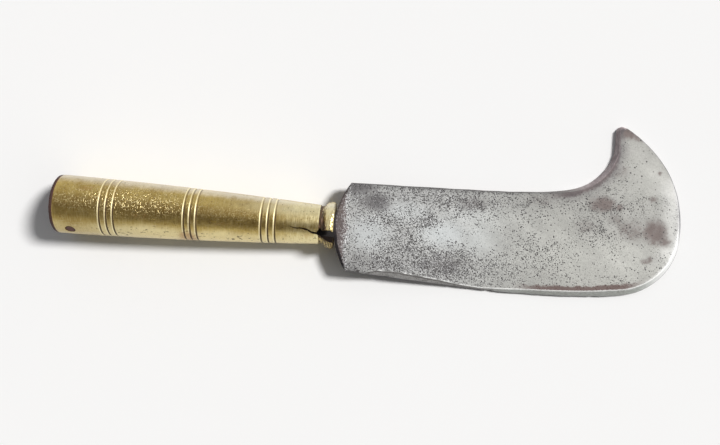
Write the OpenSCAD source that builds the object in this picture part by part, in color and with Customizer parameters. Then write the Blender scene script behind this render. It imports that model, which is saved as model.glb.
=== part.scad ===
// Billhook with a hollow cast brass handle, lying on its flat.
// The handle rests on its swell and on the collar ring. The blade leaves the cracked neck at a slight
// droop, then bends level, and its front half lies flat on the surface.
// X runs along the tool towards the nose, Y towards the beak, Z up from the surface that it lies on.

/* [Handle] */
// Length of the brass sleeve, from the butt rim to the neck end
handle_l = 139.8; // [130:0.2:160]
// Outer radius at the butt
butt_r = 15.8; // [14:0.1:17]
// Outer radius at the neck end
neck_r = 10.5; // [9.8:0.1:11.6]
// Thickness of the brass at both ends
brass_wall = 2.3; // [1.6:0.1:3]
// Rounding of the butt rim
rim_round = 0.6; // [0.3:0.1:1]

/* [Turned grooves] */
// Width of one V-groove at the surface
groove_w = 1.3; // [0.8:0.1:1.8]
// Depth of one V-groove
groove_d = 0.5; // [0.3:0.05:0.8]
// Distance between neighbouring grooves in the groups at the butt and at the neck
groove_pitch = 3.65; // [2.6:0.05:4.5]
// Distance between neighbouring grooves in the middle group
waist_pitch = 3.25; // [2.6:0.05:4.5]
// Butt rim to the middle groove of the first group
butt_group_x = 28.5; // [20:0.5:45]
// Butt rim to the middle groove of the second group
waist_group_x = 72.4; // [60:0.2:90]
// Neck end to the middle groove of the third group
neck_group_x = 26.7; // [20:0.1:32]

/* [Collar] */
// Length of the collar, from the neck end to the blade's shoulder
collar_l = 7.6; // [6:0.1:10]
// Outer radius of the collar ring
collar_r = 12.7; // [12:0.1:14]
// Width of the ring's rounded band
ring_w = 3.2; // [2.4:0.1:4]
// Radius where the hollow flare meets the neck
flare_r = 10.1; // [9:0.1:10.5]
// Thickness of the end wall that the tang passes through
end_wall = 2.4; // [1.6:0.1:3]
// Length of the spigot that centres the collar in the neck
spigot_l = 3; // [2:0.1:5]

/* [Butt disc and nail] */
// Thickness of the iron disc that closes the butt
disc_t = 1.6; // [0.8:0.1:2.5]
// How far the disc stays inside the butt's outer radius
disc_inset = 0.2; // [0:0.1:1.5]
// Butt rim to the centre of the nail
nail_x = 8.3; // [7:0.1:16]
// Turn of the nail from the top towards the belly side, in degrees
nail_turn = 57; // [20:1:80]
// Radius of the nail's flush head
nail_head_r = 2.6; // [1.8:0.1:3.2]
// Thickness of the nail's head
nail_head_t = 1.4; // [0.8:0.1:1.5]
// Radius of the nail's shank
nail_shank_r = 1.4; // [0.8:0.1:1.7]
// Length of the nail's shank below its head
nail_shank_l = 6; // [4:0.5:7]
// How far the head lies below the brass
nail_sunk = 0.25; // [0.1:0.05:0.4]

/* [Tang] */
// Thickness of the tang
tang_t = 3.6; // [3:0.1:4.6]
// Width of the tang at the blade's shoulder
tang_w_root = 13; // [10:0.5:13.5]
// Width of the tang at the butt
tang_w_end = 6; // [4:0.5:7]
// Radius of the riveted end, in the disc's countersink
rivet_r = 4.4; // [4:0.1:6]

/* [Blade outline] */
// Length of the blade, from the shoulder to the nose
blade_l = 184.7; // [170:0.5:200]
// Width of the blade at the heel
heel_w = 47.2; // [42:0.2:54]
// How far the heel bulges towards the handle
heel_bulge = 7.4; // [5:0.1:10]
// Rise of the back, from the heel to where the blade bends level
back_rise = 2.2; // [0:0.1:5]
// Swell of the belly below the heel corner
belly_drop = 5; // [2:0.1:8]
// Shoulder to the start of the level front half
level_x = 92.4; // [86:0.2:98]
// Radius of the nose below its foremost point
nose_r = 34; // [28:0.5:38]
// Height of the nose's foremost point above the handle's line
nose_y = 8.3; // [5:0.1:12]
// Height of the beak's top above the handle's line
beak_h = 65.6; // [60:0.2:72]
// Width from the beak's inner edge to the nose
beak_w = 37.8; // [34:0.2:42]
// Radius of the beak's blunt tip
beak_r = 3.1; // [2.9:0.1:4]
// Depth of the straight inner edge of the beak below its tip
beak_edge_l = 8.5; // [5:0.5:11]
// Height of the throat's floor above the handle's line
throat_y = 29.9; // [28:0.1:34]
// Width of the throat curve, back from the beak
throat_w = 21; // [17:0.5:26]

/* [Blade section] */
// Thickness at the heel
heel_t = 5.6; // [4.8:0.1:7]
// Thickness at the nose
nose_t = 3; // [2.4:0.1:4]
// Width of the ground bevel on the cutting edge
bevel_w = 3.2; // [2:0.1:4.5]
// Thickness left at the cutting edge
edge_t = 0.4; // [0.3:0.05:0.8]
// Chamfer on the edges that aren't ground
chamfer = 0.5; // [0.2:0.1:0.8]
// Width of the forged chamfer at the middle of the heel
heel_chamfer = 6.8; // [4:0.1:8]
// Length of the unground stretch of belly next to the heel
ricasso_l = 9; // [5:0.5:14]
// Length of the bend that brings the blade level
bend_l = 38; // [25:1:50]

/* [Break in the neck] */
// Width of the crack where it starts
crack_w_start = 0.25; // [0.2:0.05:0.4]
// Width of the crack at the neck end
crack_w_end = 0.9; // [0.5:0.05:1.4]
// Depth that the break leaves above the tang's middle
break_floor = 3; // [2.8:0.1:4]

/* [Fits] */
// Clearance between pieces that fit together
fit = 0.12; // [0.05:0.01:0.2]

/* [Hidden] */

$fn = 72;
MARGIN = 1;
BRASS = [0.71, 0.61, 0.32];
STEEL = [0.62, 0.62, 0.6];
IRON = [0.27, 0.2, 0.18];
WOOD = [0.3, 0.21, 0.14];

// Fall of the handle's profile below the butt radius, a third of the way along
SWELL_FALL = 0.6;
// Share of the whole taper that the profile still has to give, two thirds of the way along
SWELL_SHARE = 0.57;
// Gap between the core's front end and the collar's spigot
CORE_GAP = 0.3;
// Wall of the collar's spigot
SPIGOT_WALL = 1.4;
// Height of the ring's rounded band above its own edges
RING_CROWN = 0.6;
// How much wider than the tang the rivet is at its narrow end
RIVET_NECK = 0.4;
// Width of the heel's chamfer at its two corners
HEEL_CORNER = 0.8;
// How far the heel's flat stands out above and below the tang
HEEL_MARGIN = 0.1;
// Power of the curve that the belly follows from the heel: larger drops sooner
BELLY_POWER = 1.3;
// End of the run-out of the ground edge, in lengths of the unground stretch
RUN_OUT = 1.8;
// How sharp the hook's inner edge is ground, next to the belly's 1
HOOK_GROUND = 0.8;

// Lengths of the handles that shape the curves of the outline, in order from the belly
BELLY_REACH = 22;
NOSE_LOW_REACH = 17;
NOSE_REACH = 23;
NOSE_LEAN = 0.8;
BEAK_REACH = 28;
HOOK_REACH = 10;
THROAT_REACH = 12.9;
THROAT_BACK_REACH = 10.8;
BACK_REACH = 11;
BACK_LIFT = 0.9;
// Direction of the back where it runs into the throat, in degrees
THROAT_RISE = 14;
// Distance in front of the nose arc's centre from which the whole level front can be seen
HUB_FORWARD = 8;

// Steps along the handle, the heel and the parts of the blade's outline
HANDLE_STEPS = 24;
HEEL_STEPS = 12;
REAR_STEPS = 7;
BEND_STEPS = 6;
CURVE_STEPS = 9;
TIP_STEPS = 5;
FLARE_STEPS = 5;
RING_STEPS = 6;
BACK_STEPS = 5;

// Places along the handle, from the butt rim
shoulder_x = handle_l + collar_l;
ring_x = shoulder_x - ring_w / 2;
groups = [[butt_group_x, groove_pitch], [waist_group_x, waist_pitch],
    [handle_l - neck_group_x, groove_pitch]];

// A point of the cubic curve with the end points a and d and the handles b and c
function curve(a, b, c, d, t) =
    pow(1 - t, 3) * a + 3 * pow(1 - t, 2) * t * b + 3 * (1 - t) * t * t * c + pow(t, 3) * d;
function mix(a, b, t) = a + (b - a) * t;
function ramp(x, low, high) = min(1, max(0, (x - low) / (high - low)));
// Directions away from the centre of an arc and along it, at a turn
function outward(turn) = [cos(turn), sin(turn)];
function onward(turn) = [-sin(turn), cos(turn)];

// Radius of the sleeve along its length: almost parallel at the butt, drawn in towards the neck
function sleeve_r(x) =
    let (t = ramp(x, 0, handle_l))
    curve(butt_r, butt_r - SWELL_FALL, mix(neck_r, butt_r, SWELL_SHARE), neck_r, t);
// Radius of the plain tapered hole through the sleeve
function bore_r(x) = mix(butt_r, neck_r, x / handle_l) - brass_wall;

// The handle's axis slopes down to the collar, so that the swell and the ring both touch the surface
handle_fall = max([for (x = [0 : 0.5 : ring_x / 2]) (sleeve_r(x) - collar_r) / (ring_x - x)]);
handle_pitch = atan(handle_fall);
butt_z = ring_x * sin(handle_pitch) + collar_r * cos(handle_pitch);
function axis_z(x) = butt_z - x * handle_fall;

// Landmarks of the blade's outline
heel_x = shoulder_x + heel_bulge;
bend_x = shoulder_x + level_x - bend_l;
flat_x = shoulder_x + level_x;
nose_x = shoulder_x + blade_l;
beak_x = nose_x - beak_w;
throat_x = beak_x - throat_w;
heel_y = heel_w / 2;
belly_y = heel_y + belly_drop;
back_y = heel_y + back_rise;
heel_arc_r = (heel_y * heel_y + heel_bulge * heel_bulge) / (2 * heel_bulge);
tip = [beak_x + beak_r, beak_h - beak_r];
nose = [nose_x - nose_r, nose_y];
nose_low_turn = -80;
nose_low = nose + nose_r * outward(nose_low_turn);
tip_turn = 60;
tip_start = tip + beak_r * outward(tip_turn);
throat_top = [beak_x, tip[1] - beak_edge_l];
throat_end = [throat_x, throat_y];

// Height of the blade's lower face: a straight droop from the shoulder, then a curve to level
drop = axis_z(shoulder_x) - heel_t / 2;
droop = drop / (bend_x - shoulder_x + bend_l / 2);
function under_z(x) =
    x <= bend_x ? drop - droop * (x - shoulder_x)
    : x < flat_x ? droop * pow(flat_x - x, 2) / (2 * bend_l)
    : 0;
function blade_t(x) = mix(heel_t, nose_t, (x - heel_x) / (nose_x - heel_x));

function belly_at(x) = -heel_y - belly_drop * (1 - pow(1 - ramp(x, heel_x, flat_x), BELLY_POWER));
function back_at(x) = mix(heel_y, back_y, ramp(x, heel_x, flat_x));
// How sharp the belly is ground: not at all beside the heel, fully past a short run-out
function belly_ground(x) = ramp(x, heel_x + ricasso_l, heel_x + RUN_OUT * ricasso_l);

// Stations along the drooping part and along the bend
rear_x = [for (i = [1 : REAR_STEPS]) mix(heel_x, bend_x, i / REAR_STEPS)];
bend_xs = [for (i = [1 : BEND_STEPS]) mix(bend_x, flat_x, i / BEND_STEPS)];
function reversed(list) = [for (i = [len(list) - 1 : -1 : 0]) list[i]];
front_steps = [for (i = [1 : CURVE_STEPS]) i / CURVE_STEPS];

// The outline runs anticlockwise from the belly's corner of the heel.
// Each point is [x, y, ground], where ground is 1 on a sharp edge and 0 on a square one.
belly_rear = [for (x = rear_x) [x, belly_at(x), belly_ground(x)]];
belly_bend = [for (x = bend_xs) [x, belly_at(x), 1]];
belly_front = [for (t = front_steps)
    concat(curve([flat_x, -belly_y], [flat_x + BELLY_REACH, -belly_y],
        nose_low - NOSE_LOW_REACH * onward(nose_low_turn), nose_low, t), 1)];
nose_lower = [for (t = front_steps)
    concat(nose + nose_r * outward(mix(nose_low_turn, 0, t)), 1)];
nose_upper = [for (t = front_steps)
    concat(curve([nose_x, nose_y], [nose_x + NOSE_LEAN, nose_y + NOSE_REACH],
        tip_start - BEAK_REACH * onward(tip_turn), tip_start, t), mix(1, HOOK_GROUND, t))];
beak_tip = [for (i = [1 : TIP_STEPS])
    concat(tip + beak_r * outward(mix(tip_turn, 180, i / TIP_STEPS)), HOOK_GROUND)];
throat = [for (t = concat([0], front_steps))
    concat(curve(throat_top, throat_top - [0, HOOK_REACH],
        throat_end + THROAT_REACH * outward(THROAT_RISE), throat_end, t), HOOK_GROUND)];
back_front = [for (i = [1 : BACK_STEPS])
    let (t = i / BACK_STEPS)
    concat(curve(throat_end, throat_end - THROAT_BACK_REACH * outward(THROAT_RISE),
        [flat_x + BACK_REACH, back_y + BACK_LIFT], [flat_x, back_y], t), HOOK_GROUND * (1 - t))];
back_bend = [for (x = reversed(concat([bend_x], bend_xs))) if (x < flat_x) [x, back_at(x), 0]];
back_rear = [for (x = reversed(rear_x)) if (x < bend_x) [x, back_at(x), 0]];
heel = [for (i = [0 : HEEL_STEPS])
    let (y = mix(heel_y, -heel_y, i / HEEL_STEPS))
    [shoulder_x + heel_arc_r - sqrt(heel_arc_r * heel_arc_r - y * y), y, 0]];

outline = concat(belly_rear, belly_bend, belly_front, nose_lower, nose_upper, beak_tip, throat,
    back_front, back_bend, back_rear, heel);
n = len(outline);
heel_first = n - len(heel);

// Inward offset of a point: across the edge, or along the blade on the heel's forged chamfer
function offset_in(i) =
    let (p = outline[i], before = outline[(i + n - 1) % n], after = outline[(i + 1) % n],
        along = [after[0] - before[0], after[1] - before[1]],
        inward = [-along[1], along[0]] / norm(along),
        share = p[1] / heel_y)
    i >= heel_first
    ? [mix(heel_chamfer, HEEL_CORNER, share * share), -share * chamfer]
    : inward * mix(chamfer, bevel_w, p[2]);
function edge_half(i) =
    i >= heel_first
    ? tang_t / 2 + HEEL_MARGIN
    : mix(blade_t(outline[i][0]) / 2 - chamfer, edge_t / 2, outline[i][2]);

// Four rings make the blade: the lower face, the edge below, the edge above and the upper face
function face_point(i, upper) =
    let (p = [outline[i][0], outline[i][1]] + offset_in(i))
    [p[0], p[1], under_z(p[0]) + (upper ? blade_t(p[0]) : 0)];
function edge_point(i, side) =
    let (x = outline[i][0])
    [x, outline[i][1], under_z(x) + blade_t(x) / 2 + side * edge_half(i)];
rings = concat(
    [for (i = [0 : n - 1]) face_point(i, false)],
    [for (i = [0 : n - 1]) edge_point(i, -1)],
    [for (i = [0 : n - 1]) edge_point(i, 1)],
    [for (i = [0 : n - 1]) face_point(i, true)]);

// Each face of the blade is a fan of triangles about a hub on its level front and another on its
// drooping rear, with a ladder of narrow panels in the bend between them
hubs = [[nose[0] + HUB_FORWARD, (nose_y + throat_y) / 2], [(heel_x + bend_x) / 2, 0]];
hub_points = [for (upper = [false, true], hub = hubs)
    [hub[0], hub[1], under_z(hub[0]) + (upper ? blade_t(hub[0]) : 0)]];
last_rear = REAR_STEPS - 1;
last_bend = last_rear + BEND_STEPS;
first_back_bend = n - len(heel) - len(back_rear) - len(back_bend);
first_back_rear = first_back_bend + BEND_STEPS - 1;
front_panel = [for (i = [last_bend : first_back_bend - 1]) i];
rear_panel = concat([for (i = [first_back_rear : n - 1]) i], [for (i = [0 : last_rear]) i]);
ladder = [for (k = [0 : BEND_STEPS - 1])
    let (low = last_rear + k, high = first_back_rear - k)
    each [[low, low + 1, high], [low + 1, high - 1, high]]];
function fan(panel, hub) = [for (k = [0 : len(panel) - 1])
    [panel[k], panel[(k + 1) % len(panel)], hub]];
lower_face = concat(fan(front_panel, 4 * n), fan(rear_panel, 4 * n + 1), ladder);
upper_face = [for (face = lower_face)
    [for (i = reversed(face)) i >= 4 * n ? i + len(hubs) : i + 3 * n]];
sides = [for (ring = [0 : 2], i = [0 : n - 1])
    let (a = ring * n + i, b = ring * n + (i + 1) % n)
    each [[a, a + n, b + n], [a, b + n, b]]];

// Outer box of the part, for its origin
low_x = -disc_t * cos(handle_pitch) - (butt_r - disc_inset - chamfer) * sin(handle_pitch);
mid_x = (low_x + nose_x) / 2;
mid_y = (beak_h - belly_y) / 2;

// Points of the crack and of the break, measured from the neck end and from the handle's line
crack_path = [[-17, -3], [-9.5, -2.4], [-5.3, -2.7], [0.2, -4.2]];
break_path = [[-0.6, -4.6], [0.6, -1], [1.7, -3.1], [3.2, -3], [collar_l - 1.2, -2.3],
    [collar_l + 0.5, -4], [collar_l + 0.5, -10.2], [4.8, -9.3], [1.6, -7]];

// Moves from the tool's own line to the part's origin on the surface
module placed() {
    translate([-mid_x, -mid_y, 0])
        children();
}

// Puts a piece that is turned about the X axis on the sloping axis of the handle
module on_handle() {
    placed()
        translate([0, 0, butt_z])
            rotate([0, handle_pitch, 0])
                children();
}

// Turns a profile of [x, radius] points about the X axis
module turned(profile) {
    rotate([0, 90, 0])
        rotate_extrude()
            polygon([for (p = profile) [p[1], p[0]]]);
}

// The tapered flat of the tang, grown by a clearance on every side
module tang_flat(from_x, to_x, grow) {
    half = [tang_w_end / 2, tang_w_root / 2];
    at_from = mix(half[0], half[1], from_x / shoulder_x) + grow;
    at_to = mix(half[0], half[1], to_x / shoulder_x) + grow;
    translate([0, 0, -tang_t / 2 - grow])
        linear_extrude(tang_t + 2 * grow)
            polygon([[from_x, -at_from], [to_x, -at_to], [to_x, at_to], [from_x, at_from]]);
}

// The riveted end of the tang, or the countersink for it
module rivet(grow) {
    turned([[-disc_t, 0], [0, 0], [0, tang_w_end / 2 + RIVET_NECK + grow],
        [-disc_t, rivet_r + grow]]);
}

// The opening broken out of the neck and the collar
module neck_break() {
    from_neck()
        polygon(break_path);
}

// The crack that runs back from the opening through the brass of the neck
module neck_crack() {
    from_neck()
        for (i = [0 : len(crack_path) - 2])
            crack_step(i);
}

// Cuts a flat shape, drawn from the neck end, down through the brass as far as the tang's cover
module from_neck() {
    translate([handle_l, 0, break_floor])
        linear_extrude(collar_r)
            children();
}

// One straight stretch of the crack, widening towards the neck end
module crack_step(i) {
    a = crack_path[i];
    b = crack_path[i + 1];
    count = len(crack_path) - 1;
    half_a = mix(crack_w_start, crack_w_end, i / count) / 2;
    half_b = mix(crack_w_start, crack_w_end, (i + 1) / count) / 2;
    polygon([a - [0, half_a], b - [0, half_b], b + [0, half_b], a + [0, half_a]]);
}

// Points of the sleeve's outside between two places, both ends included
function sleeve_run(from_x, to_x) =
    let (steps = max(2, ceil((to_x - from_x) / handle_l * HANDLE_STEPS)))
    [for (i = [0 : steps]) let (x = mix(from_x, to_x, i / steps)) [x, sleeve_r(x)]];
// The three grooves of a group, each a V between two points of the surface
function groove_run(group) = [for (k = [-1 : 1])
    let (x = group[0] + k * group[1], low = x - groove_w / 2, high = x + groove_w / 2)
    each [[low, sleeve_r(low)], [x, sleeve_r(x) - groove_d], [high, sleeve_r(high)]]];
// Half of the length that a group takes up, with a little plain surface at its ends
function group_half(group) = group[1] + groove_w;

// One forging: the hooked blade and the tang that runs through the handle
module blade() {
    color(STEEL) {
        placed()
            polyhedron(
                points = concat(rings, hub_points),
                faces = concat(lower_face, upper_face, sides),
                convexity = 6);
        on_handle() {
            tang_flat(0, shoulder_x + heel_chamfer, 0);
            rivet(0);
        }
    }
}

// The hollow cast brass handle with its nine turned grooves
module handle_sleeve() {
    edges = [for (group = groups) [group[0] - group_half(group), group[0] + group_half(group)]];
    outside = concat(
        [[0, butt_r - rim_round], [rim_round / 3, butt_r - rim_round / 3]],
        sleeve_run(rim_round, edges[0][0]),
        groove_run(groups[0]),
        sleeve_run(edges[0][1], edges[1][0]),
        groove_run(groups[1]),
        sleeve_run(edges[1][1], edges[2][0]),
        groove_run(groups[2]),
        sleeve_run(edges[2][1], handle_l));
    color(BRASS)
        on_handle()
            difference() {
                turned(concat(outside, [[handle_l, bore_r(handle_l)], [0, bore_r(0)]]));
                nail_hole();
                neck_break();
                neck_crack();
            }
}

// The cast collar: a flare that swells into the ring, a spigot in the neck and an end wall
module collar() {
    flare_l = collar_l - ring_w;
    edge_r = collar_r - RING_CROWN;
    flare = [for (i = [0 : FLARE_STEPS - 1])
        let (t = i / FLARE_STEPS) [handle_l + flare_l * t, mix(flare_r, edge_r, t * t)]];
    ring = [for (i = [0 : RING_STEPS])
        let (across = mix(-1, 1, i / RING_STEPS))
        [ring_x + ring_w / 2 * across, edge_r + RING_CROWN * (1 - across * across)]];
    inside_r = bore_r(handle_l) - fit - SPIGOT_WALL;
    color(BRASS)
        on_handle()
            difference() {
                turned(concat(
                    [[handle_l - spigot_l, inside_r], [handle_l - spigot_l, inside_r + SPIGOT_WALL],
                        [handle_l, inside_r + SPIGOT_WALL]],
                    flare,
                    ring,
                    [[shoulder_x, 0], [shoulder_x - end_wall, 0], [shoulder_x - end_wall, inside_r]]));
                tang_flat(handle_l - spigot_l - MARGIN, shoulder_x + MARGIN, fit);
                neck_break();
            }
}

// The wooden core that fills the sleeve and grips the tang
module core() {
    core_end = handle_l - spigot_l - CORE_GAP;
    color(WOOD)
        on_handle()
            difference() {
                turned([[fit, 0], [fit, bore_r(fit) - fit], [core_end, bore_r(core_end) - fit],
                    [core_end, 0]]);
                tang_flat(-MARGIN, core_end + MARGIN, fit);
                nail_hole();
            }
}

// The iron disc that closes the butt, countersunk for the riveted tang
module butt_disc() {
    disc_r = butt_r - disc_inset;
    color(IRON)
        on_handle()
            difference() {
                turned([[-disc_t, 0], [-disc_t, disc_r - chamfer], [chamfer - disc_t, disc_r],
                    [0, disc_r], [0, 0]]);
                tang_flat(-disc_t - MARGIN, MARGIN, fit);
                rivet(fit);
            }
}

// Stands a piece on the sleeve's radius at the nail's place, with its height measured from the axis
module at_nail() {
    translate([nail_x, 0, 0])
        rotate([nail_turn, 0, 0])
            children();
}

nail_top = sleeve_r(nail_x) - nail_sunk;

// The hole for the nail, open to the outside
module nail_hole() {
    at_nail() {
        translate([0, 0, nail_top - nail_head_t - fit])
            cylinder(r = nail_head_r + fit, h = nail_head_t + MARGIN);
        translate([0, 0, nail_top - nail_head_t - nail_shank_l - fit])
            cylinder(r = nail_shank_r + fit, h = nail_shank_l + MARGIN);
    }
}

// The iron nail that pins the sleeve to the core
module nail() {
    color(IRON)
        on_handle()
            at_nail() {
                translate([0, 0, nail_top - nail_head_t])
                    cylinder(r = nail_head_r, h = nail_head_t);
                translate([0, 0, nail_top - nail_head_t - nail_shank_l])
                    cylinder(r = nail_shank_r, h = nail_shank_l + nail_head_t / 2);
            }
}

blade();
handle_sleeve();
collar();
core();
butt_disc();
nail();
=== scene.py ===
# %% [markdown]
# An old billhook lies on a white table in hazy sun: a broad steel blade with a hooked nose, and a
# tapered brass handle, hollow cast and turned, that has cracked open at the neck.
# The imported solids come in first. They fix every size and place, and each piece below is a finer
# skin in the same space. All lengths are worked out in millimetres and written to the meshes in
# metres.

# %% Load the solids
import math

import bmesh
import bpy
import numpy as np
from mathutils import Matrix, Vector
from mathutils.geometry import delaunay_2d_cdt


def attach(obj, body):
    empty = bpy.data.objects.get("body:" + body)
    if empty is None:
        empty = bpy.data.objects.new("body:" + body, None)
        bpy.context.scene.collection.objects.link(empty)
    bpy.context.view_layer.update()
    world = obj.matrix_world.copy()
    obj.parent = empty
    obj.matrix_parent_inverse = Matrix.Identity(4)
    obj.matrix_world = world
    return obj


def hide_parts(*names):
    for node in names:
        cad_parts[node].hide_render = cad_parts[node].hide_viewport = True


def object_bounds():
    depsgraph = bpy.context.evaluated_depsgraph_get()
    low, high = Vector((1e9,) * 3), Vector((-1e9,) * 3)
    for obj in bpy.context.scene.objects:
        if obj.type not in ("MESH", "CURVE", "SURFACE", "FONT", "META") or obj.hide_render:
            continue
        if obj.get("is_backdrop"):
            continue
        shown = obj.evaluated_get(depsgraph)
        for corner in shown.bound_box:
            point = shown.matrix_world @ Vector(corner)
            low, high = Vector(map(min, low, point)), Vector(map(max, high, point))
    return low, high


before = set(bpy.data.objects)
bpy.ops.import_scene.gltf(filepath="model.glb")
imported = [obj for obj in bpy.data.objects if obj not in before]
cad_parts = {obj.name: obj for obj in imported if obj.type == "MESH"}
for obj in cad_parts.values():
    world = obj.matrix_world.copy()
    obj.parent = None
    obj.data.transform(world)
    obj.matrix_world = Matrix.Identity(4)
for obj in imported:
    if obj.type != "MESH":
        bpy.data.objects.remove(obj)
cad_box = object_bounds()
MM = 0.001
print("solids:", sorted(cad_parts), "box:", [tuple(round(v, 4) for v in c) for c in cad_box])

# %% [markdown]
# The camera looks almost straight down from arm's length, as someone would photograph a find on a
# table. It could be aimed by eye, but a tool this flat shows every degree of tilt in its outline, so
# its place and its three directions are written down: turned a little about the vertical and tipped
# a little towards the butt.

# %% Camera
CAMERA_AT = (18.7, -13.9, 434)
TURN, TIP = math.radians(4.61), math.radians(3.12)
PICTURE_W, FOCAL_PX, SENSOR_W = 720, 790, 36
NEAREST, FARTHEST = 0.01, 20


def make_camera():
    """Makes the camera at its measured place and returns its object."""
    level = Vector((math.cos(TURN), math.sin(TURN), 0))
    down = Vector((0, 0, -1))
    right = math.cos(TIP) * level + math.sin(TIP) * down
    ahead = math.cos(TIP) * down - math.sin(TIP) * level
    up = right.cross(ahead)
    data = bpy.data.cameras.new("camera")
    data.sensor_width = SENSOR_W
    data.lens = SENSOR_W * FOCAL_PX / PICTURE_W
    data.clip_start, data.clip_end = NEAREST, FARTHEST
    camera = bpy.data.objects.new("camera", data)
    axes = Matrix((right, up, -ahead)).transposed().to_4x4()
    camera.matrix_world = Matrix.Translation(Vector(CAMERA_AT) * MM) @ axes
    bpy.context.collection.objects.link(camera)
    return camera


bpy.context.scene.camera = make_camera()
print("lens:", round(bpy.context.scene.camera.data.lens, 2), "mm")

# %% [markdown]
# A material is a formula: how brown, how rough, how deep at each point. Wiring such a formula node by
# node is slow to read, so small classes let it be written as Python. A Value stands for a number
# socket, and arithmetic on it adds the Math nodes. A Net adds any other node, and Outputs picks what
# comes out of it. The same classes serve the Geometry Nodes further down.

# %% Formulas as nodes
class Value:
    """A socket that carries a number, for use in a formula."""

    def __init__(self, net, socket):
        self.net, self.socket = net, socket

    def math(self, operation, *others, clamp=False):
        """One Math node on this number and others."""
        return self.net.calc(operation, self, *others, clamp=clamp)

    def __add__(self, other):
        return self.math("ADD", other)

    def __radd__(self, other):
        return self.net.calc("ADD", other, self)

    def __sub__(self, other):
        return self.math("SUBTRACT", other)

    def __rsub__(self, other):
        return self.net.calc("SUBTRACT", other, self)

    def __mul__(self, other):
        return self.math("MULTIPLY", other)

    def __rmul__(self, other):
        return self.net.calc("MULTIPLY", other, self)

    def __truediv__(self, other):
        return self.math("DIVIDE", other)

    def __abs__(self):
        return self.math("ABSOLUTE")

    def clamp(self):
        """The same number, held between 0 and 1."""
        return self.math("ADD", 0.0, clamp=True)

    def step(self, low, high):
        """0 at low and 1 at high, with a smooth change between; low may be the larger."""
        settings = {"interpolation_type": "SMOOTHSTEP", "clamp": True}
        inputs = {"Value": self, "From Min": min(low, high), "From Max": max(low, high)}
        rise = self.net.add("ShaderNodeMapRange", settings, inputs)["Result"]
        return rise if high > low else 1 - rise


class Net:
    """A node tree that is added to from Python."""

    def __init__(self, tree):
        self.tree = tree

    def calc(self, operation, *numbers, clamp=False):
        """One Math node on sockets and plain numbers."""
        settings = {"operation": operation, "use_clamp": clamp}
        return self.add("ShaderNodeMath", settings, dict(enumerate(numbers)))[0]

    def add(self, kind, settings=None, inputs=None):
        """Adds a node; its settings go first, then the value or link of each named input."""
        node = self.tree.nodes.new(kind)
        for name, value in (settings or {}).items():
            setattr(node, name, value)
        for name, value in (inputs or {}).items():
            socket = node.inputs[name]
            if isinstance(value, Value):
                self.tree.links.new(value.socket, socket)
            elif socket.type == "RGBA" and len(value) == 3:
                socket.default_value = (*value, 1.0)
            else:
                socket.default_value = value
        return Outputs(self, node)

    def mix(self, share, a, b):
        """A colour between a and b."""
        return self.add("ShaderNodeMix", {"data_type": "RGBA"}, {0: share, 6: a, 7: b})[2]

    def between(self, share, a, b):
        """A number between a and b."""
        return self.add("ShaderNodeMix", {"data_type": "FLOAT"}, {0: share, 2: a, 3: b})[0]

    def scaled(self, vector, by):
        """A vector with each part multiplied by its own number."""
        return self.add("ShaderNodeVectorMath", {"operation": "MULTIPLY"}, {0: vector, 1: by})[0]

    def split(self, vector):
        """The three parts of a vector."""
        parts = self.add("ShaderNodeSeparateXYZ", None, {0: vector})
        return parts[0], parts[1], parts[2]

    def join(self, x, y, z):
        """A vector made of three numbers."""
        return self.add("ShaderNodeCombineXYZ", None, {0: x, 1: y, 2: z})[0]

    def noise(self, vector, scale, detail=3.0, rough=0.55, distort=0.0):
        """Soft clouds between 0 and 1."""
        inputs = {"Vector": vector, "Scale": scale, "Detail": detail, "Roughness": rough,
                  "Distortion": distort}
        return self.add("ShaderNodeTexNoise", {"noise_dimensions": "3D"}, inputs)[0]

    def cells(self, vector, scale, jitter=1.0):
        """Distance to the nearest of scattered points, and a random number for that point."""
        node = self.add("ShaderNodeTexVoronoi", {"feature": "F1"},
                        {"Vector": vector, "Scale": scale, "Randomness": jitter})
        red = self.add("ShaderNodeSeparateColor", None, {0: node["Color"]})[0]
        return node["Distance"], red

    def dashes(self, vector, scale, thin, gaps):
        """Short bent strokes: the edges of scattered cells, broken up by noise."""
        bent = self.noise(vector, scale * 1.3, 2.0, 0.5)
        lines = self.add("ShaderNodeTexVoronoi", {"feature": "DISTANCE_TO_EDGE"},
                         {"Vector": vector, "Scale": scale})["Distance"]
        return lines.step(thin, thin * 0.35) * bent.step(gaps, gaps + 0.05)


class Outputs:
    """The outputs of a node, by name or number."""

    def __init__(self, net, node):
        self.net, self.node = net, node

    def __getitem__(self, name):
        return Value(self.net, self.node.outputs[name])


def new_material(name):
    """Returns an empty material, its net and the point being shaded, in millimetres."""
    material = bpy.data.materials.new(name)
    material.use_nodes = True
    net = Net(material.node_tree)
    net.tree.nodes.clear()
    place = net.add("ShaderNodeTexCoord")["Object"]
    return material, net, net.scaled(place, (1000, 1000, 1000))


def finish_material(net, colour, rough, metal, height=None, height_mm=0.05, **constants):
    """Adds the shader. What varies is linked; a constant is set on the shader's own socket."""
    shader = net.add("ShaderNodeBsdfPrincipled")
    for name, value in (("Base Color", colour), ("Roughness", rough), ("Metallic", metal)):
        if isinstance(value, Value):
            net.tree.links.new(value.socket, shader.node.inputs[name])
        else:
            shader.node.inputs[name].default_value = value
    for name, value in constants.items():
        shader.node.inputs[name.replace("_", " ")].default_value = value
    if height is not None:
        bump = net.add("ShaderNodeBump", None,
                       {"Strength": 1.0, "Distance": height_mm * MM, "Height": height})
        net.tree.links.new(bump[0].socket, shader.node.inputs["Normal"])
    net.add("ShaderNodeOutputMaterial", None, {"Surface": shader[0]})


def attribute(net, name):
    """A number that the mesh carries at each point."""
    return net.add("ShaderNodeAttribute", {"attribute_name": name})["Fac"]


print("classes: Value, Net, Outputs")

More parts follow.
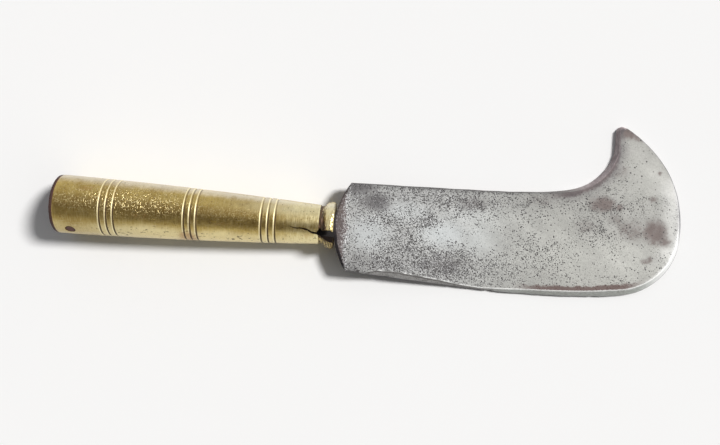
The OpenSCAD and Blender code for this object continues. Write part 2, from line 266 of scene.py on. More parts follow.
# %% [markdown]
# Sizes come from the solids' source, because this script can't read it. The tool's own line runs
# along X from the butt joint, with the handle's axis at Y = 0; the shift below takes that line to
# the part's frame, whose origin is under the middle of the whole tool. The handle lies on its swell
# and on the collar's ring, so its axis falls towards the neck by an angle that follows from the radii.

# %% Sizes
HANDLE_L, BUTT_R, NECK_R, WALL, RIM = 139.8, 15.8, 10.5, 2.3, 0.6
SWELL_FALL, SWELL_SHARE = 0.6, 0.57
GROOVE_W, GROOVE_D = 1.3, 0.5
# Each group of grooves: where its middle groove is and how far apart its grooves are
GROUPS = ((28.5, 3.65), (72.4, 3.25), (HANDLE_L - 26.7, 3.65))
COLLAR_L, COLLAR_R, RING_W, RING_CROWN, FLARE_R = 7.6, 12.7, 3.2, 0.6, 10.1
END_WALL, SPIGOT_L, SPIGOT_WALL, FIT, TANG_HOLE_R = 2.4, 3.0, 1.4, 0.12, 6.9
DISC_T, DISC_INSET, DISC_ROUND, RIVET_R, RIVET_NECK = 1.6, 0.2, 0.5, 4.4, 3.4
NAIL_X, NAIL_TURN, NAIL_R, NAIL_T, NAIL_SUNK = 8.3, 57, 2.6, 1.4, 0.25
TANG_T, TANG_ROOT, TANG_END, TANG_SOFT = 3.6, 13.0, 6.0, 0.35
BLADE_L, HEEL_W, HEEL_BULGE, BACK_RISE, BELLY_DROP = 184.7, 47.2, 7.4, 2.2, 5.0
LEVEL_X, BEND_L, HEEL_T, NOSE_T = 92.4, 38.0, 5.6, 3.0
SHOULDER = HANDLE_L + COLLAR_L
RING_X = SHOULDER - RING_W / 2
HEEL_X, BEND_X = SHOULDER + HEEL_BULGE, SHOULDER + LEVEL_X - BEND_L
FLAT_X, NOSE_X = SHOULDER + LEVEL_X, SHOULDER + BLADE_L


def curve(a, b, c, d, t):
    """A point of the cubic curve with ends a and d and handles b and c."""
    return (1 - t) ** 3 * a + 3 * (1 - t) ** 2 * t * b + 3 * (1 - t) * t * t * c + t ** 3 * d


def sleeve_r(x):
    """Radius of the brass along its length."""
    handle = NECK_R + (BUTT_R - NECK_R) * SWELL_SHARE
    return curve(BUTT_R, BUTT_R - SWELL_FALL, handle, NECK_R, np.clip(x / HANDLE_L, 0, 1))


stations = np.arange(0, RING_X / 2, 0.5)
FALL = float(np.max((sleeve_r(stations) - COLLAR_R) / (RING_X - stations)))
PITCH = math.atan(FALL)
BUTT_Z = RING_X * math.sin(PITCH) + COLLAR_R * math.cos(PITCH)
LOW_X = -DISC_T * math.cos(PITCH) - (BUTT_R - DISC_INSET - DISC_ROUND) * math.sin(PITCH)
MID_X, MID_Y = (LOW_X + NOSE_X) / 2, 18.5
ON_HANDLE = Matrix.Translation((-MID_X, -MID_Y, BUTT_Z)) @ Matrix.Rotation(PITCH, 4, "Y")
print("pitch:", round(math.degrees(PITCH), 3), "deg, shift:", round(MID_X, 2), MID_Y)

# %% [markdown]
# Hand forging, filing and years of use leave no line quite straight. Each mesh therefore gets a
# little smooth unevenness. A noise texture could do it in the material alone, but edges and
# highlights only wander where the mesh itself does, so this small function sums waves of fixed
# directions and phases, which gives the same result at every run.

# %% Unevenness and mesh helpers
DOUBLE = 1e-7


def waves(points, length, seed, count=7):
    """Smooth values between about -1 and 1 for an array of points; length is the wave length."""
    random = np.random.default_rng(seed)
    directions = random.normal(size=(count, points.shape[1]))
    directions /= np.linalg.norm(directions, axis=1)[:, None]
    lengths = length * random.uniform(0.7, 1.6, count)
    phases = random.uniform(0, 2 * math.pi, count)
    total = np.sin(points @ directions.T * (2 * math.pi / lengths) + phases)
    return total.sum(axis=1) / math.sqrt(count)


def mesh_object(name, points_mm, faces, matrix=None):
    """A smooth-shaded mesh object at the origin, with its points in metres."""
    data = bpy.data.meshes.new(name)
    data.from_pydata([tuple(p) for p in np.asarray(points_mm, float)], [], faces)
    if matrix is not None:
        data.transform(matrix)
    data.transform(Matrix.Scale(MM, 4))
    data.update()
    data.polygons.foreach_set("use_smooth", [True] * len(data.polygons))
    piece = bpy.data.objects.new(name, data)
    bpy.context.collection.objects.link(piece)
    return piece


def tube_faces(levels, count):
    """Quads between rings of points, each ring with as many points."""
    faces = []
    for level in range(levels - 1):
        for i in range(count):
            a, b = level * count + i, level * count + (i + 1) % count
            faces.append((a, b, b + count, a + count))
    return faces


def mark(piece, **marks):
    """Stores numbers for each point of the mesh under a name that a material can read."""
    for name, values in marks.items():
        piece.data.attributes.new(name, "FLOAT", "POINT").data.foreach_set("value", values)


def face_outwards(piece):
    """Merges doubles, turns every face outwards and prints whether the mesh is closed."""
    work = bmesh.new()
    work.from_mesh(piece.data)
    bmesh.ops.remove_doubles(work, verts=work.verts, dist=DOUBLE)
    bmesh.ops.dissolve_degenerate(work, edges=work.edges, dist=DOUBLE / 10)
    bmesh.ops.recalc_face_normals(work, faces=work.faces)
    volume = work.calc_volume(signed=True)
    if volume < 0:
        bmesh.ops.reverse_faces(work, faces=work.faces)
    open_edges = sum(1 for e in work.edges if not e.is_manifold)
    work.to_mesh(piece.data)
    work.free()
    print(piece.name, "volume", round(abs(volume) * 1e9), "mm3, open edges", open_edges,
          "faces", len(piece.data.polygons))


print("helpers: waves, mesh_object, tube_faces, mark, face_outwards")

# %% [markdown]
# The blade is one forging: a straight back, a full belly, a round nose and a beak. It could be
# modelled as a plate with a bevel modifier, but the ground edge changes width all the way round and
# runs out beside the heel. So the outline is a ring of points that carry their own sharpness, and
# the plate is lofted from copies of that ring, each a little further in and a little higher. The
# ring is made of arcs and of cubic curves whose handles are the pulls named below.

# %% Blade outline
EDGE_T, CHAMFER, HEEL_CHAMFER, HEEL_CORNER = 0.4, 0.5, 6.8, 1.4
RICASSO, RUN_OUT, HOOK_GROUND, BELLY_POWER = 9.0, 1.8, 0.8, 1.3
HEEL_Y, BELLY_Y = HEEL_W / 2, HEEL_W / 2 + BELLY_DROP
BACK_Y = HEEL_Y + BACK_RISE
NOSE_R, NOSE_Y, BEAK_H, BEAK_W, BEAK_R, BEAK_EDGE = 34.0, 8.3, 65.6, 37.8, 3.1, 8.5
THROAT_Y, THROAT_W = 29.9, 21.0
NOSE_LOW_TURN, TIP_TURN, THROAT_RISE = -80.0, 60.0, 14.0
BELLY_PULL, NOSE_PULL, NOSE_SWELL, TIP_PULL = 22, 23, 0.8, 28
NOSE_LOW_PULL, BEAK_PULL, THROAT_PULLS, BACK_PULL, BACK_SWELL = 17, 10, (12.9, 10.8), 11, 0.9


def outward(turn):
    """The direction of an angle, from the centre of an arc."""
    return np.array([math.cos(math.radians(turn)), math.sin(math.radians(turn))])


def onward(turn):
    """The direction along the arc at an angle, anticlockwise."""
    return np.array([-math.sin(math.radians(turn)), math.cos(math.radians(turn))])


def ramp(x, low, high):
    """0 below low, 1 above high and a straight rise between."""
    return np.clip((x - low) / (high - low), 0, 1)


def mix(a, b, t):
    """From a at t = 0 to b at t = 1."""
    return a + (b - a) * t


def heel_line(y):
    """The heel's bulging arc, as X for each Y."""
    heel_r = (HEEL_Y ** 2 + HEEL_BULGE ** 2) / (2 * HEEL_BULGE)
    return SHOULDER + heel_r - np.sqrt(np.clip(heel_r ** 2 - y ** 2, 0, None))


def arc(middle, radius, first, last, steps, ground):
    """Points of an arc after its first one, as rows of x, y and sharpness."""
    turns = np.linspace(first, last, steps + 1)[1:]
    return np.array([[*(middle + radius * outward(turn)), ground] for turn in turns])


def along_curve(a, b, c, d, steps, ground_a, ground_b, first=1):
    """Points of a cubic curve as rows of x, y and sharpness."""
    t = np.arange(first, steps + 1)[:, None] / steps
    a, b, c, d = (np.asarray(p, float)[None, :] for p in (a, b, c, d))
    return np.hstack([curve(a, b, c, d, t), mix(ground_a, ground_b, t)])


def blade_outline():
    """The outline, anticlockwise from the belly's corner of the heel, and its first heel point."""
    beak_x = NOSE_X - BEAK_W
    tip = np.array([beak_x + BEAK_R, BEAK_H - BEAK_R])
    nose = np.array([NOSE_X - NOSE_R, NOSE_Y])
    nose_low = nose + NOSE_R * outward(NOSE_LOW_TURN)
    tip_start = tip + BEAK_R * outward(TIP_TURN)
    throat_top = np.array([beak_x, tip[1] - BEAK_EDGE])
    throat_end = np.array([beak_x - THROAT_W, THROAT_Y])
    clear = HEEL_X + HEEL_CORNER
    x = np.linspace(clear, FLAT_X, 108)
    belly_y = -HEEL_Y - BELLY_DROP * (1 - (1 - ramp(x, HEEL_X, FLAT_X)) ** BELLY_POWER)
    ground = ramp(x, HEEL_X + RICASSO, HEEL_X + RUN_OUT * RICASSO)
    belly = np.stack([x, belly_y, ground], axis=1)
    back_x = np.linspace(FLAT_X, clear, 108)[1:]
    back = np.stack([back_x, mix(HEEL_Y, BACK_Y, ramp(back_x, HEEL_X, FLAT_X)), 0 * back_x], axis=1)
    heel_y = np.linspace(HEEL_Y, -HEEL_Y, 61)
    heel = np.stack([heel_line(heel_y), heel_y, 0 * heel_y], axis=1)
    rows = [
        belly,
        along_curve([FLAT_X, -BELLY_Y], [FLAT_X + BELLY_PULL, -BELLY_Y],
                    nose_low - NOSE_LOW_PULL * onward(NOSE_LOW_TURN), nose_low, 44, 1, 1),
        arc(nose, NOSE_R, NOSE_LOW_TURN, 0, 49, 1),
        along_curve([NOSE_X, NOSE_Y], [NOSE_X + NOSE_SWELL, NOSE_Y + NOSE_PULL],
                    tip_start - TIP_PULL * onward(TIP_TURN), tip_start, 70, 1, HOOK_GROUND),
        arc(tip, BEAK_R, TIP_TURN, 180, 12, HOOK_GROUND),
        along_curve(throat_top, throat_top - [0, BEAK_PULL],
                    throat_end + THROAT_PULLS[0] * outward(THROAT_RISE),
                    throat_end, 50, HOOK_GROUND, HOOK_GROUND, first=0),
        along_curve(throat_end, throat_end - THROAT_PULLS[1] * outward(THROAT_RISE),
                    [FLAT_X + BACK_PULL, BACK_Y + BACK_SWELL], [FLAT_X, BACK_Y], 40, HOOK_GROUND, 0),
        back,
        heel,
    ]
    return np.vstack(rows), sum(len(r) for r in rows[:-1])


outline, heel_first = blade_outline()
count = len(outline)
before, after = np.roll(outline[:, :2], 1, axis=0), np.roll(outline[:, :2], -1, axis=0)
tangent = after - before
inward = np.stack([-tangent[:, 1], tangent[:, 0]], axis=1)
inward /= np.linalg.norm(tangent, axis=1)[:, None]
print("outline points:", count, "heel starts at", heel_first)

# %% [markdown]
# The grinding is worn almost away in the middle of the belly, where a billhook is sharpened most, and
# the edge has small nicks. Nicks and unevenness only ever take metal off, so that the blade stays
# inside its solid. The lower face droops from the neck and bends level, and the blade thins towards
# the nose.

# %% Wear of the outline
# Each nick: where it is along the belly, how deep and how wide
NICKS = ((176.5, 0.35, 1.1), (214.0, 0.3, 0.9), (233.5, 0.4, 1.3), (262.0, 0.25, 0.8),
         (289.0, 0.3, 1.0))
WANDER_DEPTH, WANDER_WAVE, FINE_DEPTH, FINE_WAVE, MOST_WORN = 0.07, 14, 0.05, 4, 0.3
BELLY_SIDE = -20


def under_z(x):
    """Height of the lower face: a straight droop from the shoulder, then a bend to level."""
    drop = BUTT_Z - SHOULDER * FALL - HEEL_T / 2
    droop = drop / (BEND_X - SHOULDER + BEND_L / 2)
    bend = droop * (FLAT_X - x) ** 2 / (2 * BEND_L)
    return np.where(x <= BEND_X, drop - droop * (x - SHOULDER), np.where(x < FLAT_X, bend, 0))


def blade_t(x):
    """Thickness of the blade, which tapers from heel to nose."""
    return mix(HEEL_T, NOSE_T, (x - HEEL_X) / (NOSE_X - HEEL_X))


def worn_outline():
    """The outline with its unevenness and nicks, taken inwards."""
    points = outline[:, :2].copy()
    wander = WANDER_DEPTH * (1 + waves(points, WANDER_WAVE, 3)) * (1 - 0.6 * is_heel)
    fine = FINE_DEPTH * np.abs(waves(points, FINE_WAVE, 4)) * sharp
    points += inward * np.clip(wander + fine, 0, MOST_WORN)[:, None]
    for at, depth, width in NICKS:
        near = (np.abs(points[:, 0] - at) < 3 * width) & (points[:, 1] < BELLY_SIDE)
        dip = depth * np.exp(-(((points[:, 0] - at) / width) ** 2)) * near
        points += inward * dip[:, None]
    return points


is_heel = np.arange(count) >= heel_first
sharp = outline[:, 2]
edge_line = worn_outline()
print("worn by at most", round(float(np.abs(edge_line - outline[:, :2]).max()), 2), "mm")

# %% [markdown]
# The bevel has no one width. It follows a handful of measured places along the belly, grows narrower
# round the nose and up to the tip, and keeps one width inside the hook, which is ground from above
# only, so that its edge lies near the lower face. The heel has a forged chamfer instead of a bevel, a
# crescent that is widest at the tang.

# %% Blade lofting
# Measured widths of the bevel: by X along the belly, and by Y round the nose
BEVEL_AT = (148, 163, 182, 194, 205, 217, 227, 242, 256, 272, 294, 317, 400)
BEVEL_WIDTH = (3.2, 2.4, 3.6, 3.1, 2.6, 1.5, 1.1, 2.0, 2.6, 2.8, 3.3, 3.6, 3.2)
NOSE_BEVEL_Y, NOSE_BEVEL_W = (-28, -18, -6, 10, 30, 60), (3.4, 2.8, 1.9, 1.3, 0.8, 0.7)
NOSE_STARTS, HOOK_BEVEL_W, HOOK_STARTS, HOOK_X = 299, 1.7, 1.2, NOSE_X - 33
TIP_NARROWER, TIP_REACH = 0.3, 7
HEEL_POWER, HEEL_LEAST = 1.15, 0.45
BROAD_DEPTH, BROAD_WAVE, SMALL_DEPTH, SMALL_WAVE = 0.07, 34, 0.03, 11
UPPER_SEED, LOWER_SEED = 20, 30


def on_hook(points):
    """1 on the hook's inner side and 0 elsewhere, with a short change between."""
    return np.clip((points[:, 1] - (BACK_Y + HOOK_STARTS)) / 2, 0, 1) * (points[:, 0] < HOOK_X)


def bevel_width():
    """Width of the bevel at each point of the outline."""
    x, y = outline[:, 0], outline[:, 1]
    to_tip = np.linalg.norm(outline[:, :2] - [NOSE_X - BEAK_W + BEAK_R, BEAK_H - BEAK_R], axis=1)
    ground = np.where(x > NOSE_STARTS, np.interp(y, NOSE_BEVEL_Y, NOSE_BEVEL_W),
                      np.interp(x, BEVEL_AT, BEVEL_WIDTH))
    ground = mix(ground, HOOK_BEVEL_W, one_sided)
    return mix(CHAMFER, ground, sharp) * (1 - TIP_NARROWER * np.exp(-(to_tip / TIP_REACH) ** 2))


def heel_chamfer_at(y):
    """Width of the forged chamfer: a crescent, widest at the tang and gone at the corners."""
    to_corner = np.clip(np.abs(y + 1) / (HEEL_Y - 1), 0, 1)
    return HEEL_CHAMFER * (1 - to_corner ** HEEL_POWER) + HEEL_LEAST


one_sided = on_hook(outline)
width = bevel_width()
heel_step = np.stack([heel_chamfer_at(outline[:, 1]), -outline[:, 1] / HEEL_Y * CHAMFER], axis=1)
step_in = np.where(is_heel[:, None], heel_step, inward * width[:, None])
unit_in = step_in / np.linalg.norm(step_in, axis=1)[:, None]
edge_half = np.where(is_heel, TANG_T / 2 + 0.1,
                     mix(blade_t(outline[:, 0]) / 2 - CHAMFER, EDGE_T / 2, sharp))
# Rings from the flat to the edge: how far in, as a share of the bevel and in millimetres more, and
# how far down, as a share of the way to the edge
RINGS = ((1.0, 0.35, 0.0), (1.0, 0.0, 0.0), (0.9, 0.0, 0.085), (0.5, 0.0, 0.47), (0.12, 0.0, 0.85),
         (0.0, 0.0, 1.0))


def forged(points, seed):
    """Slight unevenness of a forged and filed face, in millimetres."""
    broad = BROAD_DEPTH * waves(points, BROAD_WAVE, seed)
    return broad + SMALL_DEPTH * waves(points, SMALL_WAVE, seed + 1)


def ring_points(inset, extra, down, side):
    """One ring of the loft, on the upper side (1) or the lower side (-1)."""
    flat = edge_line + step_in * inset + unit_in * extra
    x = flat[:, 0]
    full = blade_t(x) / 2
    half = mix(full, edge_half, down)
    rough = forged(flat, UPPER_SEED) if side > 0 else np.abs(forged(flat, LOWER_SEED))
    lowered = one_sided * (full - EDGE_T / 2 - 0.1)
    z = under_z(x) + full + side * half + (1 - down) * rough - down * lowered
    return np.column_stack([flat, z])


upper_rings = [ring_points(*ring, 1) for ring in RINGS]
lower_rings = [ring_points(*ring, -1) for ring in reversed(RINGS)]
print("bevel width:", round(float(width.min()), 2), "to", round(float(width.max()), 2), "mm")

# %% [markdown]
# The two broad faces need points of their own, so that the bend and the forging marks can shape
# them. A plain fill of the outline would give long thin triangles and streaky light. Points on a
# grid inside the outline, joined by a Delaunay triangulation, give even ones. The forged unevenness
# may not sink into the table, so the last fraction of a millimetre above it is squeezed.

# %% Blade faces
GRID, SHAKE, RIM_GAP, TABLE_GAP = 1.25, 0.3, 0.8, 0.3


def inside(points, polygon):
    """Which points lie inside a polygon, by counting crossings."""
    x, y = points[:, 0][:, None], points[:, 1][:, None]
    x1, y1 = polygon[:, 0][None, :], polygon[:, 1][None, :]
    x2, y2 = np.roll(x1, -1, axis=1), np.roll(y1, -1, axis=1)
    crosses = (y1 > y) != (y2 > y)
    at = x1 + (y - y1) * (x2 - x1) / np.where(y2 == y1, 1e-9, y2 - y1)
    return (crosses & (x < at)).sum(axis=1) % 2 == 1


def distance_to(points, line):
    """Distance of each point from the nearest of the line's points."""
    return np.array([np.sqrt(((line - p) ** 2).sum(axis=1).min()) for p in points])


def fill_points(boundary):
    """Grid points inside the boundary, not too near it, slightly shaken."""
    low, high = boundary.min(axis=0), boundary.max(axis=0)
    xs, ys = np.meshgrid(np.arange(low[0], high[0], GRID), np.arange(low[1], high[1], GRID))
    points = np.column_stack([xs.ravel(), ys.ravel()])
    points += np.random.default_rng(7).uniform(-SHAKE, SHAKE, points.shape)
    points = points[inside(points, boundary)]
    return points[distance_to(points, boundary) > RIM_GAP * GRID]


def triangulate(boundary):
    """Even triangles inside a ring: the points, the triangles and each point's number as given."""
    points = np.vstack([boundary, fill_points(boundary)])
    edges = [(i, (i + 1) % len(boundary)) for i in range(len(boundary))]
    found = delaunay_2d_cdt([Vector(p) for p in points], edges, [], 1, 1e-5)
    assert len(found[0]) == len(points), "the outline crosses itself"
    return np.array([tuple(v) for v in found[0]]), found[2], [given[0] for given in found[3]]


def broad_z(points, side):
    """Height of a broad face at each point: the upper face (1) or the lower one (-1)."""
    x = points[:, 0]
    if side > 0:
        return under_z(x) + blade_t(x) + forged(points, UPPER_SEED)
    return under_z(x) + np.abs(forged(points, LOWER_SEED))


def make_blade():
    """The blade's points and faces: the rings of the loft and a broad face inside each end ring."""
    rings = upper_rings + lower_rings
    points = list(np.vstack(rings))
    faces = tube_faces(len(rings), count)
    for ring, side in ((0, 1), (len(rings) - 1, -1)):
        flat, triangles, given = triangulate(rings[ring][:, :2])
        heights = broad_z(flat, side)
        number = []
        for place, height, source in zip(flat, heights, given):
            number.append(ring * count + source if source < count else len(points))
            if source >= count:
                points.append([*place, height])
        faces += [tuple(number[k] for k in triangle) for triangle in triangles]
    points = np.array(points)
    low = points[:, 2] < TABLE_GAP
    points[low, 2] = TABLE_GAP * np.exp(points[low, 2] / TABLE_GAP - 1)
    return points, faces


blade_points, blade_faces = make_blade()
blade = mesh_object("blade_forging", blade_points - [MID_X, MID_Y, 0], blade_faces)
nearest = np.array([((outline[:, :2] - p[:2]) ** 2).sum(axis=1).argmin() for p in blade_points])
mark(blade, inset=np.linalg.norm(outline[nearest, :2] - blade_points[:, :2], axis=1),
     ground=sharp[nearest])
face_outwards(blade)

# %% [markdown]
# The tang runs back from the heel through the wooden core and is riveted over the butt disc. Only two
# bits of it show: a dark flat inside the break in the neck, and the round rivet head at the butt. A
# tapered bar with softened edges is enough for the first.

# %% Tang
TANG_REACH = HEEL_CHAMFER * 0.6


def tang_section(x):
    """Eight points round the tang at x: each corner of the bar is cut by a small flat."""
    half_w, half_t = mix(TANG_END, TANG_ROOT, x / SHOULDER) / 2, TANG_T / 2
    points = []
    for to_y, to_z, step in ((1, 1, 1), (-1, 1, -1), (-1, -1, 1), (1, -1, -1)):
        corner = [(x, to_y * half_w, to_z * (half_t - TANG_SOFT)),
                  (x, to_y * (half_w - TANG_SOFT), to_z * half_t)]
        points += corner[::step]
    return points


def make_tang():
    """The tapered bar of the tang, along the handle's axis."""
    points = tang_section(0.0) + tang_section(SHOULDER + TANG_REACH)
    faces = [tuple(range(8)), tuple(range(15, 7, -1))] + tube_faces(2, 8)
    piece = mesh_object("tang", points, faces, ON_HANDLE)
    piece.data.polygons.foreach_set("use_smooth", [False] * len(piece.data.polygons))
    return piece


tang = make_tang()
face_outwards(tang)

# %% [markdown]
# The brass handle was cast hollow and then turned, so its shape follows one rule: a profile that
# goes round. Screw or Spin would do that too, but a small Geometry Nodes lathe keeps the cutting of
# the nine grooves next to it, as named sizes that can be changed on the modifier. A grid is rolled
# into a tube, each row takes its place and radius from the profile's points, the grooves are cut
# into the outside, and a seeded noise adds the dents of long use. The collar, the disc, the rivet and
# the nail head go through the same lathe with no grooves.

# %% The lathe
FLOAT_INPUTS = ("Groove Width", "Groove Depth", "Outer Pitch", "Middle Pitch", "First Group",
                "Second Group", "Third Group", "Dents", "Dent Size", "Seed")
GROOVE_GROUPS = (("First Group", "Outer Pitch"), ("Second Group", "Middle Pitch"),
                 ("Third Group", "Outer Pitch"))
MERGE_MM = 0.00002
# Where dirt with painted shade and the lip's painted highlight lie across a groove: their middle and
# half width, in groove widths
DIRT_AND_SHADE, LIT_LIP = (0.16, 0.46), (-0.42, 0.26)
VEE_SOFT, DENT_FROM = 0.35, 0.35


def lathe_inputs(tree):
    """Names everything that the lathe is given, and what it returns."""
    sockets = [("Profile", "NodeSocketGeometry"), ("Rows", "NodeSocketInt"),
               ("Steps Round", "NodeSocketInt")]
    sockets += [(name, "NodeSocketFloat") for name in FLOAT_INPUTS]
    sockets += [("Finish", "NodeSocketMaterial")]
    for name, kind in sockets:
        tree.interface.new_socket(name, in_out="INPUT", socket_type=kind)
    tree.interface.new_socket("Turned", in_out="OUTPUT", socket_type="NodeSocketGeometry")


def hump(away, width, place):
    """A soft hump across a groove, 1 in its middle and 0 from its half width on."""
    off = (away - width * place[0]) / (width * place[1])
    return (1.0 - off * off).clamp()


def grooves(given, x):
    """For a place along the axis: how deep in a groove it is, its dirt with painted shade, and its lip's
    painted highlight.
    """
    width = given["Groove Width"]
    marks = None
    for place, pitch in GROOVE_GROUPS:
        for k in (-1.0, 0.0, 1.0):
            away = x - (given[place] + given[pitch] * k)
            vee = (1.0 - abs(away) / (width * 0.5)).clamp()
            vee = vee - vee * (1.0 - vee) * (1.0 - vee) * VEE_SOFT
            found = (vee, hump(away, width, DIRT_AND_SHADE), hump(away, width, LIT_LIP))
            marks = found if marks is None else [a.math("MAXIMUM", b) for a, b in zip(marks, found)]
    return marks


def lathe_tree():
    """Builds the lathe's node group."""
    tree = bpy.data.node_groups.new("lathe", "GeometryNodeTree")
    tree.is_modifier = True
    lathe_inputs(tree)
    net = Net(tree)
    given = net.add("NodeGroupInput")
    grid = net.add("GeometryNodeMeshGrid", None, {"Size X": 1.0, "Size Y": 1.0,
                   "Vertices X": given["Rows"], "Vertices Y": given["Steps Round"]})
    u, v, _ = net.split(net.add("GeometryNodeInputPosition")[0])
    row = ((u + 0.5) * (given["Rows"] - 1.0)).math("ROUND")
    profile = net.add("GeometryNodeSampleIndex", {"data_type": "FLOAT_VECTOR", "domain": "POINT"},
                      {"Geometry": given["Profile"], "Index": row,
                       "Value": net.add("GeometryNodeInputPosition")[0]})
    x, outer, radius = net.split(profile["Value"])
    cut, dirt, lit = grooves(given, x)
    cut_radius = radius - cut * outer * given["Groove Depth"]
    angle = v * (2 * math.pi)
    sine, cosine = angle.math("SINE"), angle.math("COSINE")
    centre = net.join(x, cut_radius * sine * -1.0, cut_radius * cosine)
    soft = net.add("ShaderNodeTexNoise", {"noise_dimensions": "4D"},
                   {"Vector": centre, "W": given["Seed"], "Scale": given["Dent Size"], "Detail": 2.0})
    worn = cut_radius - (soft[0] - DENT_FROM).math("MAXIMUM", 0.0) * given["Dents"] * outer
    marked = grid["Mesh"]
    # groove carries dirt with painted shade, lit the lip's painted highlight, inner the inside that is
    # painted dark.
    for name, value in (("groove", dirt * outer), ("lit", lit * outer), ("inner", 1 - outer)):
        marked = net.add("GeometryNodeStoreNamedAttribute", {"data_type": "FLOAT", "domain": "POINT"},
                         {"Geometry": marked, "Name": name, "Value": value})[0]
    rolled = net.add("GeometryNodeSetPosition", None, {
        "Geometry": marked, "Position": net.join(x, worn * sine * -1.0, worn * cosine)})
    closed = net.add("GeometryNodeMergeByDistance", None, {"Geometry": rolled[0], "Distance": MERGE_MM})
    smooth = net.add("GeometryNodeSetShadeSmooth", None, {"Geometry": closed[0]})
    real = net.add("GeometryNodeRealizeInstances", None, {"Geometry": smooth[0]})
    painted = net.add("GeometryNodeSetMaterial", None,
                      {"Geometry": real[0], "Material": given["Finish"]})
    net.add("NodeGroupOutput", None, {0: painted[0]})
    return tree


LATHE = lathe_tree()
SOCKETS = {item.name: item.identifier for item in LATHE.interface.items_tree if item.in_out == "INPUT"}
print("lathe inputs:", ", ".join(SOCKETS))

# %% [markdown]
# The profile is handed over as a chain of points: x along the axis, z the radius, and y 1 where the
# surface is an outside that may be grooved and dented. The tree works in millimetres and the finished
# mesh is put in its place on the handle's sloping axis and taken to metres.

# %% Turning a piece
def turned(name, profile, finish, steps=160, matrix=ON_HANDLE, **sizes):
    """Turns a profile of (x, radius, outside) points and returns a plain mesh object."""
    rows = [(x, outside, radius) for x, radius, outside in profile]
    data = bpy.data.meshes.new(name + "_profile")
    data.from_pydata(rows, [(i, i + 1) for i in range(len(rows) - 1)], [])
    work = bpy.data.objects.new(name + "_work", data)
    bpy.context.collection.objects.link(work)
    modifier = work.modifiers.new("lathe", "NODES")
    modifier.node_group = LATHE
    values = {"Rows": len(rows), "Steps Round": steps + 1, "Groove Width": 1.0, "Dent Size": 0.08}
    values.update({key.replace("_", " ").title(): float(value) for key, value in sizes.items()})
    for key, value in values.items():
        modifier[SOCKETS[key]] = value
    modifier[SOCKETS["Finish"]] = finish
    mesh = plain_mesh(work, modifier, name)
    bpy.data.objects.remove(work)
    mesh.transform(matrix)
    mesh.transform(Matrix.Scale(MM, 4))
    piece = bpy.data.objects.new(name, mesh)
    bpy.context.collection.objects.link(piece)
    face_outwards(piece)
    return piece


def plain_mesh(piece, modifier, name):
    """The mesh that the modifier gives, as a mesh of its own; the modifier is removed."""
    bpy.context.view_layer.update()
    evaluated = piece.evaluated_get(bpy.context.evaluated_depsgraph_get())
    mesh = bpy.data.meshes.new_from_object(evaluated)
    mesh.name = name
    piece.modifiers.remove(modifier)
    return mesh


print("helpers: turned, plain_mesh")

# %% [markdown]
# Both profiles are closed chains. The sleeve's goes along the outside from the rounded butt rim to
# the softened neck end and back through the bore. The collar's starts at the spigot that plugs into
# the sleeve, and goes out over the flare and the crowned ring to the end wall and the hollow.

# %% Profiles of the brass
RIM_ROWS = (0, 0.06, 0.18, 0.34, 0.5, 0.7)
NECK_SOFT, ROW_GAP, BORE_ROWS, FLARE_ROWS, RING_ROWS = 0.15, 0.3, 24, 30, 25
FLARE_FROM, FLARE_TO, CROWN_SHARE = 0.42, 0.92, 0.97


def bore_r(x):
    """Inner radius of the sleeve, a straight taper."""
    return mix(BUTT_R, NECK_R, x / HANDLE_L) - WALL


def sleeve_profile():
    """The closed profile of the sleeve: outside, neck end, bore and butt end."""
    x = np.linspace(0, HANDLE_L, int(HANDLE_L / ROW_GAP))
    x[:len(RIM_ROWS)] = RIM_ROWS
    rounded = RIM - np.sqrt(np.clip(RIM ** 2 - (RIM - x) ** 2, 0, None))
    radius = sleeve_r(x) - np.where(x < RIM, rounded, 0)
    outside = [(a, b, 1.0) for a, b in zip(x, radius)]
    outside[-1] = (HANDLE_L, NECK_R - NECK_SOFT, 1.0)
    outside.insert(-1, (HANDLE_L - NECK_SOFT, NECK_R, 1.0))
    bore = [(a, bore_r(a), 0.0) for a in np.linspace(HANDLE_L, 0, BORE_ROWS)]
    return outside + bore + [outside[0]]


def collar_profile():
    """The collar: flare, crowned ring, end wall, hollow and spigot."""
    edge_r = COLLAR_R - RING_CROWN
    flare_l = COLLAR_L - RING_W
    spigot_r = NECK_R - WALL - FIT
    points = [(HANDLE_L - SPIGOT_L, spigot_r, 0.0), (HANDLE_L, spigot_r, 0.0)]
    for t in np.linspace(0, 1, FLARE_ROWS)[:-1]:
        rise = ramp(t, FLARE_FROM, FLARE_TO)
        points.append((HANDLE_L + flare_l * t, mix(FLARE_R, edge_r, rise * rise * (3 - 2 * rise)), 1.0))
    for across in np.linspace(-1, 1, RING_ROWS):
        crown = RING_CROWN * (1 - across * across) if abs(across) < CROWN_SHARE else 0.0
        points.append((RING_X + RING_W / 2 * across, edge_r + crown, 1.0))
    inner = [(SHOULDER, TANG_HOLE_R, 0.0), (SHOULDER - END_WALL, TANG_HOLE_R, 0.0),
             (SHOULDER - END_WALL, spigot_r - SPIGOT_WALL, 0.0),
             (HANDLE_L - SPIGOT_L, spigot_r - SPIGOT_WALL, 0.0)]
    return points + inner + [points[0]]


print("sleeve rows:", len(sleeve_profile()), "collar rows:", len(collar_profile()))

# %% [markdown]
# A worn finish is painted in layers, as a restorer would describe it: the bare metal first, then a
# film, stains, pits and bright edges. Each layer is a mask between 0 and 1 and a colour. The same
# masks then make the roughness and the height, so that a pit is dark, dull and deep at once. One
# small class holds what the layers share: the shaded point in millimetres and the colour so far.

